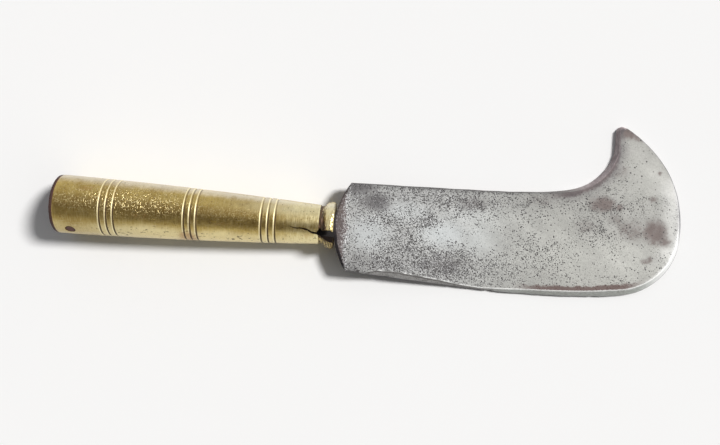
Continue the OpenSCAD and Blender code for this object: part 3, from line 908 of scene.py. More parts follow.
# %% Layers of a finish
class Finish:
    """A material in the making, with the point being shaded and the colour painted so far."""

    def __init__(self, name):
        self.material, self.net, self.point = new_material(name)
        self.x, self.y, self.z = self.net.split(self.point)
        self.colour = None

    def carried(self, *names):
        """The numbers of these names that the mesh carries at each point."""
        return [attribute(self.net, name) for name in names]

    def noise(self, *settings):
        """Soft clouds between 0 and 1 over the piece."""
        return self.net.noise(self.point, *settings)

    def paint(self, share, colour):
        """Lays a colour over the present one, as strongly as share says."""
        self.colour = self.net.mix(share, self.colour, colour)


def scratches(finish, turn, length, fine, amount):
    """Fine straight lines in one direction; the share of the surface they take is amount."""
    c, s = math.cos(math.radians(turn)), math.sin(math.radians(turn))
    x, y, z = finish.x, finish.y, finish.z
    stretched = finish.net.join((x * c + y * s) * (1 / length), (y * c - x * s) * fine, z * 0.2)
    return finish.net.noise(stretched, 1.0, 1.0, 0.5).step(1 - amount, 1.02 - amount * 0.6)


print("helpers: Finish, scratches")

# %% [markdown]
# The dark stains, the crowded specks and the places wiped bright by hands lie where they do by
# chance, so no formula finds them. Each is an ellipse with a soft rim, listed one by one. The strongest
# one at a point counts, and the mesh carries it as a number that the material reads.

# %% Marks on the blade
# Each mark on the blade: x, y, radii along x and y, how strong
STAINS = ((153.6, -8.5, 6.4, 6.2, 1.0), (158.8, -13.4, 3.6, 3.0, 0.8), (149.6, -24.6, 2.6, 1.4, 0.8),
          (151.6, -23.4, 1.4, 2.0, 0.8), (124.6, 4.5, 6.4, 4.0, 1.0), (133.6, 3.4, 2.2, 1.8, 0.8),
          (131.7, -3.0, 4.4, 2.6, 0.45), (150.8, 9.0, 2.2, 1.7, 0.6), (117.0, -8.0, 6.0, 3.4, 0.4),
          (139.5, -7.0, 7.0, 3.4, 0.3), (153.4, 23.3, 1.2, 1.0, 1.0), (133.0, 22.5, 5.0, 3.4, 0.45),
          (3.4, -4.6, 8.0, 4.2, 1.0), (55.0, -1.0, 8.5, 3.6, 0.55), (-9.0, 3.0, 6.5, 3.2, 0.4),
          (30.0, -13.0, 6.0, 3.0, 0.2), (43.0, -34.5, 9.0, 5.5, 0.6), (15.5, -33.0, 13.0, 4.6, 0.1),
          (90.0, 4.0, 8.0, 3.6, 0.35), (-7.0, 3.0, 11.0, 3.8, 0.9), (132.5, 45.5, 4.4, 4.6, 1.6),
          (140.5, 40.5, 3.6, 1.6, 0.7), (138.0, 42.5, 4.0, 2.2, 1.1), (129.5, 33.0, 2.2, 7.0, 0.5),
          (141.0, -9.0, 8.0, 6.0, 0.5))
SPECKLED = ((27.0, -11.0, 14.0, 4.5, 0.25), (31.0, -13.0, 8.0, 3.0, 0.7),
            (42.0, -35.0, 15.0, 8.0, 0.75), (18.0, -33.0, 16.0, 8.0, 0.3),
            (54.0, -1.0, 14.0, 6.0, 0.5), (94.0, -28.0, 16.0, 9.0, 0.5),
            (122.0, -10.0, 10.0, 7.0, 0.5), (126.0, 2.0, 12.0, 6.0, 0.5),
            (5.0, -13.0, 10.0, 6.0, 0.5), (75.0, -33.0, 16.0, 7.0, 0.4), (84.0, 0.0, 30.0, 6.0, 0.3))
WIPED = ((1.0, -21.0, 10.0, 8.0, 0.42), (43.0, -18.5, 13.0, 7.0, 0.55), (82.0, -28.0, 10.0, 8.0, 0.3),
         (63.0, -19.5, 11.0, 8.0, 0.6), (108.0, -26.0, 22.0, 7.0, 0.4), (66.0, -9.0, 22.0, 6.0, 0.35),
         (100.0, -10.0, 9.0, 9.0, 0.45), (160.5, 2.0, 3.0, 22.0, 0.6), (138.0, -24.0, 14.0, 8.0, 0.4),
         (150.0, 15.0, 9.0, 9.0, 0.4), (20.0, -8.0, 12.0, 5.0, 0.3))


def soft_spots(points, spots):
    """Strength of the strongest spot at each point: 1 inside, fading out over its rim."""
    total = np.zeros(len(points))
    for x, y, rx, ry, strength in spots:
        away = np.hypot((points[:, 0] - x) / rx, (points[:, 1] - y) / ry)
        total = np.maximum(total, strength * np.clip((1.55 - away) / 1.1, 0, 1))
    return total


print("stains:", len(STAINS), "crowds of specks:", len(SPECKLED), "wiped places:", len(WIPED))

# %% [markdown]
# Steel that has lain in a shed goes grey and mottled: a thin brown-grey skin lies along the back,
# near the heel and up the beak, and the middle is paler where it was handled. On this come the
# stains and fine scratches in four directions. Four noises of falling size, from clouds of two
# centimetres to a grain under a millimetre, break every border up.

# %% Steel: the ground tone
def start_steel():
    """The steel with its noises and with what its mesh carries."""
    steel = Finish("aged_steel")
    steel.inset, steel.ground, steel.heel, steel.hook = steel.carried("inset", "ground", "heel", "hook")
    steel.stain, steel.wiped, steel.speckled = steel.carried("stain", "wiped", "speckled")
    steel.under, bevel = steel.carried("under", "bevel")
    steel.edge_in = steel.inset - bevel
    steel.cloud = steel.noise(0.05, 4.0, 0.6)
    steel.mottle = steel.noise(0.2, 5.0, 0.65, 0.3)
    steel.grain = steel.noise(0.8, 4.0, 0.7)
    steel.fine = steel.noise(1.5, 2.0, 0.6)
    steel.left = steel.x.step(115.0, 20.0)
    return steel


def steel_film(steel):
    """Where the dark skin is left: along the back, up the beak and round the heel's end."""
    x, y = steel.x, steel.y
    upper = steel.net.between(x.step(85.0, 115.0), y.step(-7.0, 1.0), y.step(-20.0, -4.0))
    back = upper * y.step(32.0, 18.0) * (0.22 + x.step(20.0, -5.0) * 0.1)
    beak = y.step(24.0, 34.0) * 0.27
    throat = x.step(95.0, 120.0) * y.step(-14.0, -2.0) * y.step(22.0, 8.0) * 0.05
    heel_end = x.step(60.0, 38.0) * 0.10
    belly = x.step(66.0, 46.0) * y.step(-29.0, -37.0) * 0.2
    corner = x.step(8.0, -6.0) * y.step(-26.0, -38.0) * 0.3
    film = back + beak + throat + heel_end + belly + corner
    return (film * (0.75 + (steel.cloud - 0.5) * 1.2 + (steel.mottle - 0.5) * 1.4)).clamp()


def paint_steel_ground(steel):
    """The grey of the steel with its film, wiped places, stains and scratches."""
    net, left, grain, fine = steel.net, steel.left, steel.grain - 0.5, steel.fine - 0.5
    cloud, mottle = steel.cloud - 0.5, steel.mottle - 0.5
    tone = (0.45 + cloud * 0.3 + mottle * 0.25 + grain * 0.35 + fine * 0.6
            + steel.wiped * 0.2 - steel.stain * 0.2).clamp()
    pale = net.mix(left, (0.62, 0.625, 0.577), (0.59, 0.605, 0.59))
    steel.colour = net.mix(tone, (0.20, 0.192, 0.186), pale)
    steel.paint(steel_film(steel), (0.07, 0.064, 0.066))
    steel.paint(steel.wiped * steel.x.step(85.0, 40.0) * 0.4, (0.56, 0.62, 0.66))
    spot = (steel.stain + mottle * 1.1 + grain * 1.0 + fine * 0.6).step(0.12, 1.0)
    steel.spot = spot * steel.stain.step(0.02, 0.25)
    steel.paint(steel.spot * 0.75, net.mix(left, (0.17, 0.125, 0.115), (0.115, 0.108, 0.112)))
    steel.lines = (scratches(steel, 12, 14, 5.0, 0.32) + scratches(steel, 68, 10, 6.0, 0.30)
                   + scratches(steel, -35, 12, 5.5, 0.30) + scratches(steel, 88, 18, 4.0, 0.30)).clamp()
    steel.paint(steel.lines * 0.22, (0.78, 0.79, 0.79))


print("layers: film, wiped places, stains, scratches")

# %% [markdown]
# The pitting is what makes old steel look old from near. Round dark specks with pale halos come from
# scattered cells, of which only a share is shown: more near the heel, fewer where it was wiped. A
# bent noise joins some of them to short worms, pale salt lies between, and a few pits are large. The
# bevel was ground later, so the specks are weaker there.

# %% Steel: specks and pits
def place_steel_masks(steel):
    """The parts of the blade that several layers ask for."""
    x, y = steel.x, steel.y
    steel.on_bevel = steel.ground.step(0.4, 0.9) * steel.edge_in.step(0.15, -0.15)
    steel.nose = x.step(146.0, 158.0) * y.step(26.0, 8.0)
    steel.upper = y.step(-16.0, 0.0)
    steel.beak = x.step(125.0, 145.0) * y.step(8.0, 22.0)
    steel.border = steel.heel * (1 - steel.heel) * 4
    steel.calm = 1 - (steel.stain * (0.35 + x.step(138.0, 146.0) * 0.6)).clamp()


def round_specks(steel):
    """Dark specks and the pale halos round them."""
    left, border, wiped = steel.left, steel.border, steel.wiped
    share = (0.10 + left * 0.18 + steel.speckled * 0.6 + (steel.mottle - 0.5) * (left + 0.6)
             + border * 0.4 - wiped * (0.12 + left * 0.35) - steel.beak * 0.1) * steel.calm
    dot, chance = steel.net.cells(steel.point, 1.15)
    live = (chance + share).step(0.98, 1.02)
    ring = dot.step(0.78, 0.58) * (1 - dot.step(0.54, 0.40))
    return dot.step(0.50, 0.28) * live, ring * live * (left * 0.5 + 0.1 + border * 0.5)


def salt_and_pepper(steel):
    """Fine pale and dark grains, crowded where the steel is worst."""
    net, left, border, wiped = steel.net, steel.left, steel.border, steel.wiped
    crowd = (steel.speckled * 0.45 + left * 0.22 + (steel.mottle - 0.5) * 1.1
             + (steel.cloud - 0.5) * 0.9 - wiped * (0.3 + left * 0.6) - steel.beak * 0.25)
    other = net.noise(net.scaled(steel.point, (1.0, 1.0, -1.0)), 1.25, 2.0, 0.6)
    salt = (other + border * 0.05 + crowd * 0.05).step(0.62, 0.70)
    salted = left * 0.25 + steel.speckled * left * 0.6 + border * 0.9 - wiped * 0.4
    worm = steel.noise(1.3, 3.0, 0.6, 0.5)
    pepper = (worm + crowd * 0.20 + border * 0.03).step(0.57, 0.63)
    pepper = pepper * (0.55 + left * 0.36) * (0.3 + steel.calm * 0.7)
    return salt * salted.clamp() * steel.calm, (pepper + (steel.fine - 0.5).clamp() * 0.7).clamp()


def paint_pits(steel):
    """All that is eaten into the steel, in one dark tone."""
    speck, steel.halo = round_specks(steel)
    salt, pepper = salt_and_pepper(steel)
    steel.salt = (salt + steel.halo * 0.5).clamp()
    big, rare = steel.net.cells(steel.point, 0.5)
    pits = big.step(0.30, 0.16) * rare.step(0.86, 0.92)
    back_rim = steel.inset.step(3.0, 0.5) * (1 - steel.ground) * (steel.mottle - 0.25).step(0.0, 0.35)
    on_face = 1 - steel.on_bevel * (0.7 - steel.left * 0.25)
    steel.dark = ((pepper + speck) * on_face + pits * 0.8 + back_rim * 0.35).clamp()
    steel.paint(steel.dark, (0.045, 0.040, 0.040))


print("layers: specks with halos, worms, salt, large pits")

# %% [markdown]
# Rust has kept to the face just inside the bevel, and the forged chamfer of the heel still has its
# dark scale with a pale salty border; the heel's outer rim has painted shade. The bevel itself is
# streaky and greenish along the belly, with a painted highlight and a painted glow round the nose,
# where it turns to the light, and painted shade above, where it turns away. Its inner border has a
# thin painted highlight with a line of painted shade beside it.

# %% Steel: heel, bevel and edge
def paint_rust_and_heel(steel):
    """Rust inside the bevel, the heel's scale, the back's dark rim, and painted shade on the heel's rim.
    """
    x, y, mottle, grain = steel.x, steel.y, steel.mottle, steel.grain
    near = steel.edge_in.step(5.5, 0.5) * steel.ground.step(0.4, 0.9)
    rust = (near + (mottle - 0.5) * 1.5 + (grain - 0.5) * 0.9).step(0.42, 0.75)
    steel.rust = rust * x.step(78.0, 96.0) * x.step(152.0, 138.0) * y.step(-12.0, -30.0)
    steel.paint(steel.rust * 0.85, (0.105, 0.057, 0.050))
    scale = (grain * 0.8 + steel.fine * 1.6 - 0.75).clamp()
    steel.skin = (steel.heel * 1.2 + (mottle - 0.5) * 0.9 + (grain - 0.5) * 1.2).step(0.4, 0.9)
    steel.paint(steel.skin * 0.9, steel.net.mix(scale, (0.085, 0.066, 0.067), (0.20, 0.155, 0.15)))
    steel.paint(steel.salt * 0.75 * (1 - steel.on_bevel), (0.90, 0.90, 0.91))
    unground = 1 - steel.ground
    steel.back_edge = steel.inset.step(0.9, 0.3) * unground * x.step(-12.0, -8.0) * y.step(-5.0, 2.0)
    steel.paint(steel.back_edge * 0.8, (0.105, 0.098, 0.10))
    # Painted shade on the heel's rim, the side face that turns from the light, darkest towards the
    # belly.
    low_heel = y.step(-16.0, -26.0)
    rim = (steel.inset - low_heel * 0.8 + (mottle - 0.5) * 1.2).step(1.1, 0.4)
    steel.heel_rim = unground * rim * x.step(-9.5, -11.5)
    steel.paint(steel.heel_rim * (0.6 + low_heel * 0.4), (0.012, 0.009, 0.011))


def paint_bevel(steel):
    """The ground bevel: streaky along the belly, painted highlight and glow round the nose, painted
    shade above.
    """
    net, x, y, upper, mottle = steel.net, steel.x, steel.y, steel.upper, steel.mottle - 0.5
    streak = net.noise(net.join(x * 0.5, steel.inset * 3.0, 0.0), 1.0, 3.0, 0.6)
    greenish = net.mix(x.step(90.0, 50.0), (0.53, 0.575, 0.535), (0.42, 0.395, 0.38))
    streaky = net.mix((streak * 2.0 - 0.45).clamp(), (0.24, 0.23, 0.22), greenish)
    steel.paint(steel.on_bevel * (0.8 - steel.left * 0.35) * (1 - steel.hook), streaky)
    # A painted highlight on the nose bevel, duller where the bevel turns upwards.
    soft_bevel = steel.ground.step(0.4, 0.9) * (steel.edge_in + mottle * 2.0).step(2.2, -0.8)
    glare = soft_bevel * steel.nose * (0.5 + y.step(-42.0, -26.0) * 0.24 - upper * 0.3)
    steel.paint(glare, net.mix(upper, (0.88, 0.88, 0.875), (0.52, 0.50, 0.53)))
    # A painted glow on the face near the nose.
    glow = (steel.inset + mottle * 5.0).step(14.0, 2.0) * x.step(138.0, 158.0)
    glow = glow * y.step(-32.0, -16.0) * y.step(28.0, 6.0)
    steel.paint(glow * (1 - steel.stain) * 0.26, (0.84, 0.84, 0.84))
    # Painted shade on the upper bevel, which turns away from the light.
    steel.paint(steel.on_bevel * upper * 0.85 * (1 - steel.hook), (0.15, 0.145, 0.155))


def paint_edge(steel):
    """A line of painted shade and a painted highlight at the bevel's inner border, and the edge itself.
    """
    x, edge_in, grain, on_face = steel.x, steel.edge_in, steel.grain - 0.5, 1 - steel.hook
    # A dark line of painted shade on the bevel, just beside its inner border.
    crease_shade = steel.ground.step(0.2, 0.5) * (abs(edge_in + 0.75) + grain * 1.2).step(0.42, 0.1)
    steel.paint(crease_shade * x.step(85.0, 50.0) * 0.75, (0.09, 0.08, 0.075))
    # A thin painted highlight along the bevel's inner border.
    line = steel.ground.step(0.2, 0.5) * (abs(edge_in) + grain * 1.0).step(0.5, 0.2)
    steel.line = line * (0.65 + x.step(60.0, 40.0) * 0.35) * steel.y.step(2.0, -14.0)
    broken = (x.step(35.0, 75.0) + (steel.mottle - 0.42) * 4.0).clamp()
    steel.paint(steel.line * on_face * broken * 0.95, (1.0, 1.0, 0.98))
    rim = steel.ground.step(0.4, 0.9) * steel.inset.step(0.45, 0.2) * on_face
    steel.paint(rim * (0.35 + steel.nose * 0.4), (0.26, 0.26, 0.27))


print("layers: rust, scale, bevel, burr, line, edge")

# %% [markdown]
# The hook's inner side was never polished and has brown patches; it also has painted shade, and its
# edge, which faces away from the sun, is painted pale as light. The underside lay on damp boards and
# is darker and rustier than the rest. Last, the masks give the roughness, the metal's share and the
# height. The finish is fairly rough and less than fully metallic, because pitted steel scatters the
# light, and a smooth one would mirror the sun.

# %% Steel: hook, underside and shine
def paint_hook(steel):
    """Painted shade and brown patches on the inner side of the hook."""
    net, y, hook = steel.net, steel.y, steel.hook
    mottle, grain = steel.mottle - 0.5, steel.grain - 0.5
    # Painted shade on the hook's inner side.
    shaded = hook * (steel.inset + mottle * 6.0 + grain * 2.0).step(9.5, 1.5) * y.step(58.0, 44.0)
    steel.paint(shaded * (0.78 - steel.on_bevel * 0.6), (0.16, 0.15, 0.15))
    brown_w = y.step(40.0, 20.0) * 1.5 + 2.0
    brown = hook * (steel.inset + mottle * 5.0 + grain * 2.0 - brown_w).step(1.3, -0.8)
    lighter = net.mix(y.step(24.0, 36.0), (0.15, 0.105, 0.105), (0.145, 0.12, 0.13))
    mottled = net.mix((steel.mottle * 2.0 - 0.6).clamp(), (0.055, 0.042, 0.046), lighter)
    steel.paint(brown * (0.72 - steel.on_bevel * 0.6), mottled)


def paint_cheek(steel):
    """Painted light: a pale border on the hook's inner edge, which faces away from the sun."""
    grain = steel.grain - 0.5
    # Painted light: the edge is painted pale, so that it reads lighter than its shade.
    steel.cheek = steel.hook * (steel.edge_in + grain * 1.6).step(1.0, -0.6) * steel.y.step(8.0, 16.0)
    share = (steel.mottle * 1.6 - 0.5 + grain * 0.8).clamp()
    steel.paint(steel.cheek * 0.9, steel.net.mix(share, (0.34, 0.27, 0.28), (0.80, 0.71, 0.71)))


def steel_material():
    """The whole finish of the blade."""
    steel = start_steel()
    place_steel_masks(steel)
    for layer in (paint_steel_ground, paint_pits, paint_rust_and_heel, paint_bevel, paint_hook,
                  paint_edge, paint_cheek):
        layer(steel)
    under = steel.under
    steel.paint(under, steel.net.mix(steel.mottle, (0.035, 0.022, 0.018), (0.13, 0.078, 0.062)))
    rough = (0.59 + (steel.mottle - 0.5) * 0.2 + steel.skin * 0.1 + steel.spot * 0.1
             + steel.dark * 0.15 - steel.line * 0.15 + steel.on_bevel * steel.nose * 0.3
             - steel.wiped * 0.05 + under * 0.2 + steel.back_edge * 0.2 + steel.heel_rim * 0.5)
    metal = (0.58 - steel.skin * 0.3 - steel.spot * 0.3 - steel.dark * 0.3 - steel.rust * 0.3
             + steel.on_bevel * (0.1 - steel.nose * 0.25) - under * 0.6 - steel.back_edge * 0.4
             - steel.heel_rim - steel.cheek * 0.8)
    height = (0.6 + (steel.mottle - 0.5) * 0.15 + (steel.grain - 0.5) * 0.35 - steel.dark * 0.5
              - steel.lines * 0.1 - steel.skin * 0.1 + steel.halo * 0.15)
    finish_material(steel.net, steel.colour, rough.clamp(), metal.clamp(), height, 0.10)
    return steel.material


STEEL = steel_material()
print(STEEL.name, len(STEEL.node_tree.nodes), "nodes")

# %% [markdown]
# The brass is cast, turned and then polished by hands. It is olive where the skin has dulled, in a
# band along the top that is darkened further as a painted dark reflection, and yellow along the
# belly's side, as a painted reflection of the lit table. These bands are laid out across the handle,
# from -1 at the belly's side to 1 at the beak's side, so that they narrow with it.

# %% Brass: tone and wear
TAPER = 0.038


def start_brass(name, grimy):
    """Brass with its noises and with what its mesh carries; grimy is more for the rougher casting."""
    brass = Finish(name)
    x, y, z = brass.x, brass.y, brass.z
    brass.grimy = grimy
    brass.cloud = brass.noise(0.06, 4.0, 0.6)
    brass.mottle = brass.noise(0.35, 5.0, 0.65, 0.5)
    brass.grain = brass.noise(1.3, 4.0, 0.7)
    brass.turning = brass.net.noise(brass.net.join(x * 2.6, y * 0.22, z * 0.22), 1.0, 3.0, 0.6)
    brass.across = (y + MID_Y) / (BUTT_R - (x + MID_X) * TAPER)
    brass.upside = z.step(13.5, 18.5)
    brass.lit, brass.inner, brass.hammered = brass.carried("lit", "inner", "hammered")
    return brass


def paint_brass_tone(brass):
    """Olive to yellow, a dull band on top with painted dark reflection, and a painted highlight by the
    neck.
    """
    x, y, across, grimy = brass.x, brass.y, brass.across, brass.grimy
    cloud, mottle, grain, turning = brass.cloud, brass.mottle, brass.grain, brass.turning
    tone = ((cloud - 0.5) * 0.9 + (mottle - 0.5) * 0.9 + (grain - 0.5) * 0.5 + 0.55 - grimy * 0.2
            - brass.hammered * 0.12).clamp()
    brass.colour = brass.net.mix(tone, (0.27, 0.165, 0.038), (0.66, 0.50, 0.165))
    # The dull band along the top: patina, darkened further as a painted dark reflection.
    band = across.step(-0.3, 0.0) * across.step(0.52, 0.2) * (0.8 - x.step(-110.0, -30.0) * 0.34)
    band = band + x.step(-75.0, -150.0) * across.step(-0.1, -0.35) * 0.5
    brass.paint((band * (0.7 + (mottle - 0.3) * 1.2)).clamp(), (0.15, 0.09, 0.025))
    # A painted highlight on the top of the handle near the neck.
    pale = x.step(-85.0, -40.0) * y.step(-17.0, -11.0) * brass.upside * (0.5 + (cloud - 0.4) * 1.4)
    brass.paint(pale.clamp() * 0.65, (0.93, 0.87, 0.62))
    if grimy:
        brass.paint(((turning - 0.5) * 3.5 + (grain - 0.5)).clamp() * 0.6, (0.12, 0.065, 0.02))
    brass.paint((turning - 0.45).clamp() * 1.1, (0.78, 0.66, 0.32))


def paint_brass_wear(brass):
    """A painted reflection on the low side, a painted sheen on the far edge, the rubbed ring and neck,
    scratches.
    """
    cloud, mottle, across, grimy = brass.cloud - 0.5, brass.mottle - 0.5, brass.across, brass.grimy
    ring, neck = brass.carried("ring", "neck")
    # The low side is painted bright as a reflection of the lit table; the ring is rubbed brass with a
    # painted highlight.
    low_side = (cloud * 0.6 - across).step(0.45, 0.82) * (1 - brass.x.step(-125.0, -155.0) * 0.55)
    brass.low_side = low_side * 0.4 if grimy else low_side
    streaks = (brass.turning - 0.5) * 2.5 + mottle * 0.8
    rubbed = (brass.low_side * 0.85 + ring * (0.75 + streaks * 1.6)).clamp()
    brass.paint(rubbed * 0.55, (0.90, 0.81, 0.50))
    # A painted sheen along the far edge, on the upper side only.
    far_edge_sheen = (across + mottle * 0.3).step(0.70, 1.02) * (1 - grimy) * brass.upside
    brass.paint(far_edge_sheen * 0.5, (0.93, 0.91, 0.86))
    brass.paint((neck * (0.5 + streaks * 1.3)).clamp() * 0.55, (0.88, 0.80, 0.48))
    brass.lines = (scratches(brass, 8, 9, 4.5, 0.34) + scratches(brass, 55, 5, 5.0, 0.30)
                   + scratches(brass, -28, 7, 5.0, 0.31)).clamp()
    brass.paint(brass.lines * 0.3, (0.90, 0.83, 0.62))


print("layers: tone, dull band, rubbed places, scratches")

# %% [markdown]
# Casting pits are scattered all over, and nicks along the low side. Near the butt the brass has been
# hammered on: the dents are in the height, with painted glints on the short strokes and painted
# shade in the dimples between. The lathe knows where the grooves are and stores them, so the dirt
# sits exactly in them, with painted shade on their flank and side away from the sun, and a painted
# highlight on their lips on the butt's side. The hollow before the collar's ring is black with soot and
# painted shade, and the inside is painted dark; the broken remnant is dull.

# %% Brass: pits, dirt, and painted light and shade
def paint_brass_pits(brass):
    """Casting pits, nicks, and hammer marks: painted glints on the strokes, painted shade in the
    dimples.
    """
    net, point, mottle, hammered = brass.net, brass.point, brass.mottle, brass.hammered
    dot, chance = net.cells(point, 0.6)
    large = dot.step(0.28, 0.12) * chance.step(0.84, 0.88)
    pepper = (brass.grain + (mottle - 0.5) * 0.25).step(0.36, 0.28)
    brass.pit = (large * 0.9 + pepper * 0.7).clamp() * (1 - hammered * 0.4)
    brass.paint(brass.pit * 0.75, (0.10, 0.058, 0.022))
    nicks = net.dashes(net.scaled(point, (0.55, 1.0, 1.0)), 0.5, 0.13, 0.57)
    brass.nicks = nicks * brass.low_side * mottle.step(0.40, 0.55)
    brass.paint(brass.nicks * 0.85, (0.06, 0.035, 0.015))
    # The strokes are raised and carry painted glints; the dimples between them carry painted shade.
    brass.strokes = net.dashes(point, 0.7, 0.12, 0.52) * hammered
    brass.dimples = net.dashes(point, 0.7, 0.42, 0.49) * hammered * (1 - brass.strokes)
    brass.paint(brass.dimples * 0.62, (0.14, 0.07, 0.018))
    brass.paint(brass.strokes * 0.9, (1.0, 0.83, 0.42))


def paint_brass_dirt(brass):
    """Painted lip highlights, brown stains, and dirt, soot and painted shade in the grooves and inside.
    """
    net, turning = brass.net, brass.turning
    cloud, mottle, grain = brass.cloud - 0.5, brass.mottle - 0.5, brass.grain - 0.5
    tan, groove, cove = brass.carried("tan", "groove", "cove")
    # A painted highlight on the groove lips that face the sun.
    brass.paint(brass.lit.step(0.1, 0.8) * 0.6, (0.97, 0.88, 0.56))
    brass.paint((tan + mottle * 1.2).step(0.35, 0.9) * 0.6, (0.30, 0.13, 0.045))
    # Soot and painted shade in the collar's hollow, which the ring shades.
    soot = (cove * 1.15 + (turning - 0.5) * 1.8 + mottle * 1.4 + grain * 0.9).step(0.42, 0.68)
    brass.soot = soot * cove.step(0.02, 0.2)
    sooty = net.mix(turning.step(0.45, 0.65), (0.022, 0.010, 0.007), (0.105, 0.042, 0.018))
    brass.paint(brass.soot * 0.93, sooty)
    if brass.grimy:
        remnant = brass.across.step(-0.42, -0.62) * (0.62 + (turning - 0.5) * 2.2 + mottle * 1.8)
        brass.paint(remnant.clamp() * 0.85, (0.085, 0.055, 0.018))
    # Dirt in the grooves, darker on the belly's side as painted shade; the inside is painted dark, as
    # dirt and as the shade of the hollow.
    belly_side_share = (0.35 + brass.y.step(-8.0, -22.0) * 0.65 + cloud * 1.2 + grain * 0.8).clamp()
    brass.grime = (groove.step(0.1, 0.6) * belly_side_share + brass.mottle.step(0.33, 0.22) * 0.3).clamp()
    brass.paint((brass.grime * 0.9 + brass.inner).clamp(), (0.062, 0.031, 0.010))


def brass_material(name, grimy=0.0):
    """The whole finish of one brass casting."""
    brass = start_brass(name, grimy)
    for layer in (paint_brass_tone, paint_brass_wear, paint_brass_pits, paint_brass_dirt):
        layer(brass)
    mottle, grain, turning = brass.mottle - 0.5, brass.grain - 0.5, brass.turning - 0.5
    rough = (0.33 + mottle * 0.3 + grain * 0.15 + brass.pit * 0.3 + brass.grime * 0.4
             + brass.soot * 0.2 + brass.inner * 0.5 + grimy * 0.1 + brass.lit * 0.25)
    metal = (1.0 - brass.pit * 0.4 - brass.grime * 0.9 - brass.soot * 0.6 - brass.inner * 0.8
             - brass.lit * 0.4)
    height = (0.6 + mottle * 0.5 + turning * 0.3 + grain * 0.3 - brass.pit * 0.7 - brass.lines * 0.12
              + brass.strokes * 0.4 - brass.dimples * 0.35 - brass.nicks * 0.6)
    finish_material(brass.net, brass.colour, rough.clamp(), metal.clamp(), height, 0.09)
    return brass.material


BRASS = brass_material("worn_brass")
COLLAR_BRASS = brass_material("cast_brass", grimy=0.25)
print(BRASS.name, len(BRASS.node_tree.nodes), "nodes")

# %% [markdown]
# Where the neck has broken, the brass shows a coarse crystalline face, tarnished brown at its outer
# rim and painted nearly black further in, as the shade in the hole. The iron of the disc, the nail and
# the rivet is rusted, the tang is painted nearly black as shade in the hole, and the wood inside is
# nearly black from oil and age. These three are small in the picture, but they are what makes the
# hole and the butt believable from the side.

# %% Fracture, iron and wood
def fracture_material():
    """The torn face of the brass: painted nearly black further in, as shade, brassy at its outer rim."""
    torn = Finish("broken_brass")
    grain, cloud = torn.noise(2.2, 5.0, 0.7), torn.noise(0.5, 3.0, 0.6)
    outer = (torn.z + (grain - 0.5) * 3.0).step(19.0, 22.5)
    # Painted shade: below its outer rim the torn face is nearly black.
    dark = (grain * 0.7 + cloud * 0.5 - 0.15).clamp()
    torn.colour = torn.net.mix(dark, (0.006, 0.004, 0.004), (0.020, 0.012, 0.008))
    torn.paint(outer * cloud, (0.34, 0.20, 0.07))
    finish_material(torn.net, torn.colour, (0.65 + grain * 0.3).clamp(), (outer * 0.5).clamp(), grain,
                    0.3, Specular_IOR_Level=0.15)
    return torn.material


def iron_material(name, soot=0.0, rim=0.0):
    """Rusted iron; soot paints all of it nearly black, as shade; rim darkens only what the lathe calls
    an outside.
    """
    iron = Finish(name)
    cloud, grain = iron.noise(0.18, 4.0, 0.6, 0.6), iron.noise(1.3, 5.0, 0.7)
    flakes, chance = iron.net.cells(iron.point, 0.8)
    tone = (cloud * 0.8 + grain * 0.5 - 0.2).clamp()
    iron.colour = iron.net.mix(tone, (0.040, 0.020, 0.016), (0.21, 0.075, 0.052))
    iron.paint(grain.step(0.60, 0.74) * 0.5, (0.38, 0.20, 0.16))
    pit = flakes.step(0.30, 0.12) * chance.step(0.6, 0.7)
    iron.paint(pit * 0.8, (0.022, 0.014, 0.012))
    # Painted shade: the tang in the hole is painted nearly black.
    if soot:
        iron.paint((soot + (grain - 0.5) * soot).clamp(), (0.012, 0.009, 0.008))
    if rim:
        iron.paint((1 - attribute(iron.net, "inner")) * rim, (0.016, 0.009, 0.008))
    rough = (0.62 + (grain - 0.5) * 0.4).clamp()
    metal = (0.25 + cloud.step(0.55, 0.75) * 0.3).clamp()
    finish_material(iron.net, iron.colour, rough, metal, grain * 0.7 + cloud * 0.5 - pit * 0.7, 0.22)
    return iron.material


def wood_material():
    """Wood black with oil, its fibres along the handle."""
    wood = Finish("old_wood")
    x, y, z = wood.x, wood.y, wood.z
    fibre = wood.net.noise(wood.net.join(x * 0.08, y * 1.6, z * 1.6), 1.0, 5.0, 0.65)
    growth = wood.net.noise(wood.net.join(x * 0.02, y * 0.3, z * 0.3), 1.0, 2.0, 0.5)
    rings = (growth * 24.0).math("SINE") * 0.5 + 0.5
    tone = (fibre * 0.8 + rings * 0.25 - 0.1).clamp()
    wood.colour = wood.net.mix(tone, (0.018, 0.011, 0.007), (0.11, 0.066, 0.036))
    finish_material(wood.net, wood.colour, (0.6 + fibre * 0.3).clamp(), 0.0, fibre, 0.3)
    return wood.material


FRACTURE, WOOD = fracture_material(), wood_material()
IRON, SHADED_IRON = iron_material("rusty_iron", rim=0.7), iron_material("shaded_iron", soot=1.2)
print([m.name for m in (FRACTURE, IRON, SHADED_IRON, WOOD)])

# %% [markdown]
# The opening in the neck is torn out of the sleeve and the collar together, and a crack runs back
# from it. Deleting faces would leave paper-thin walls. A Boolean with a ragged solid keeps the
# thickness of the casting, and gives the torn faces their own material. The solid is a prism over
# the opening's outline, whose points wander a little from level to level.

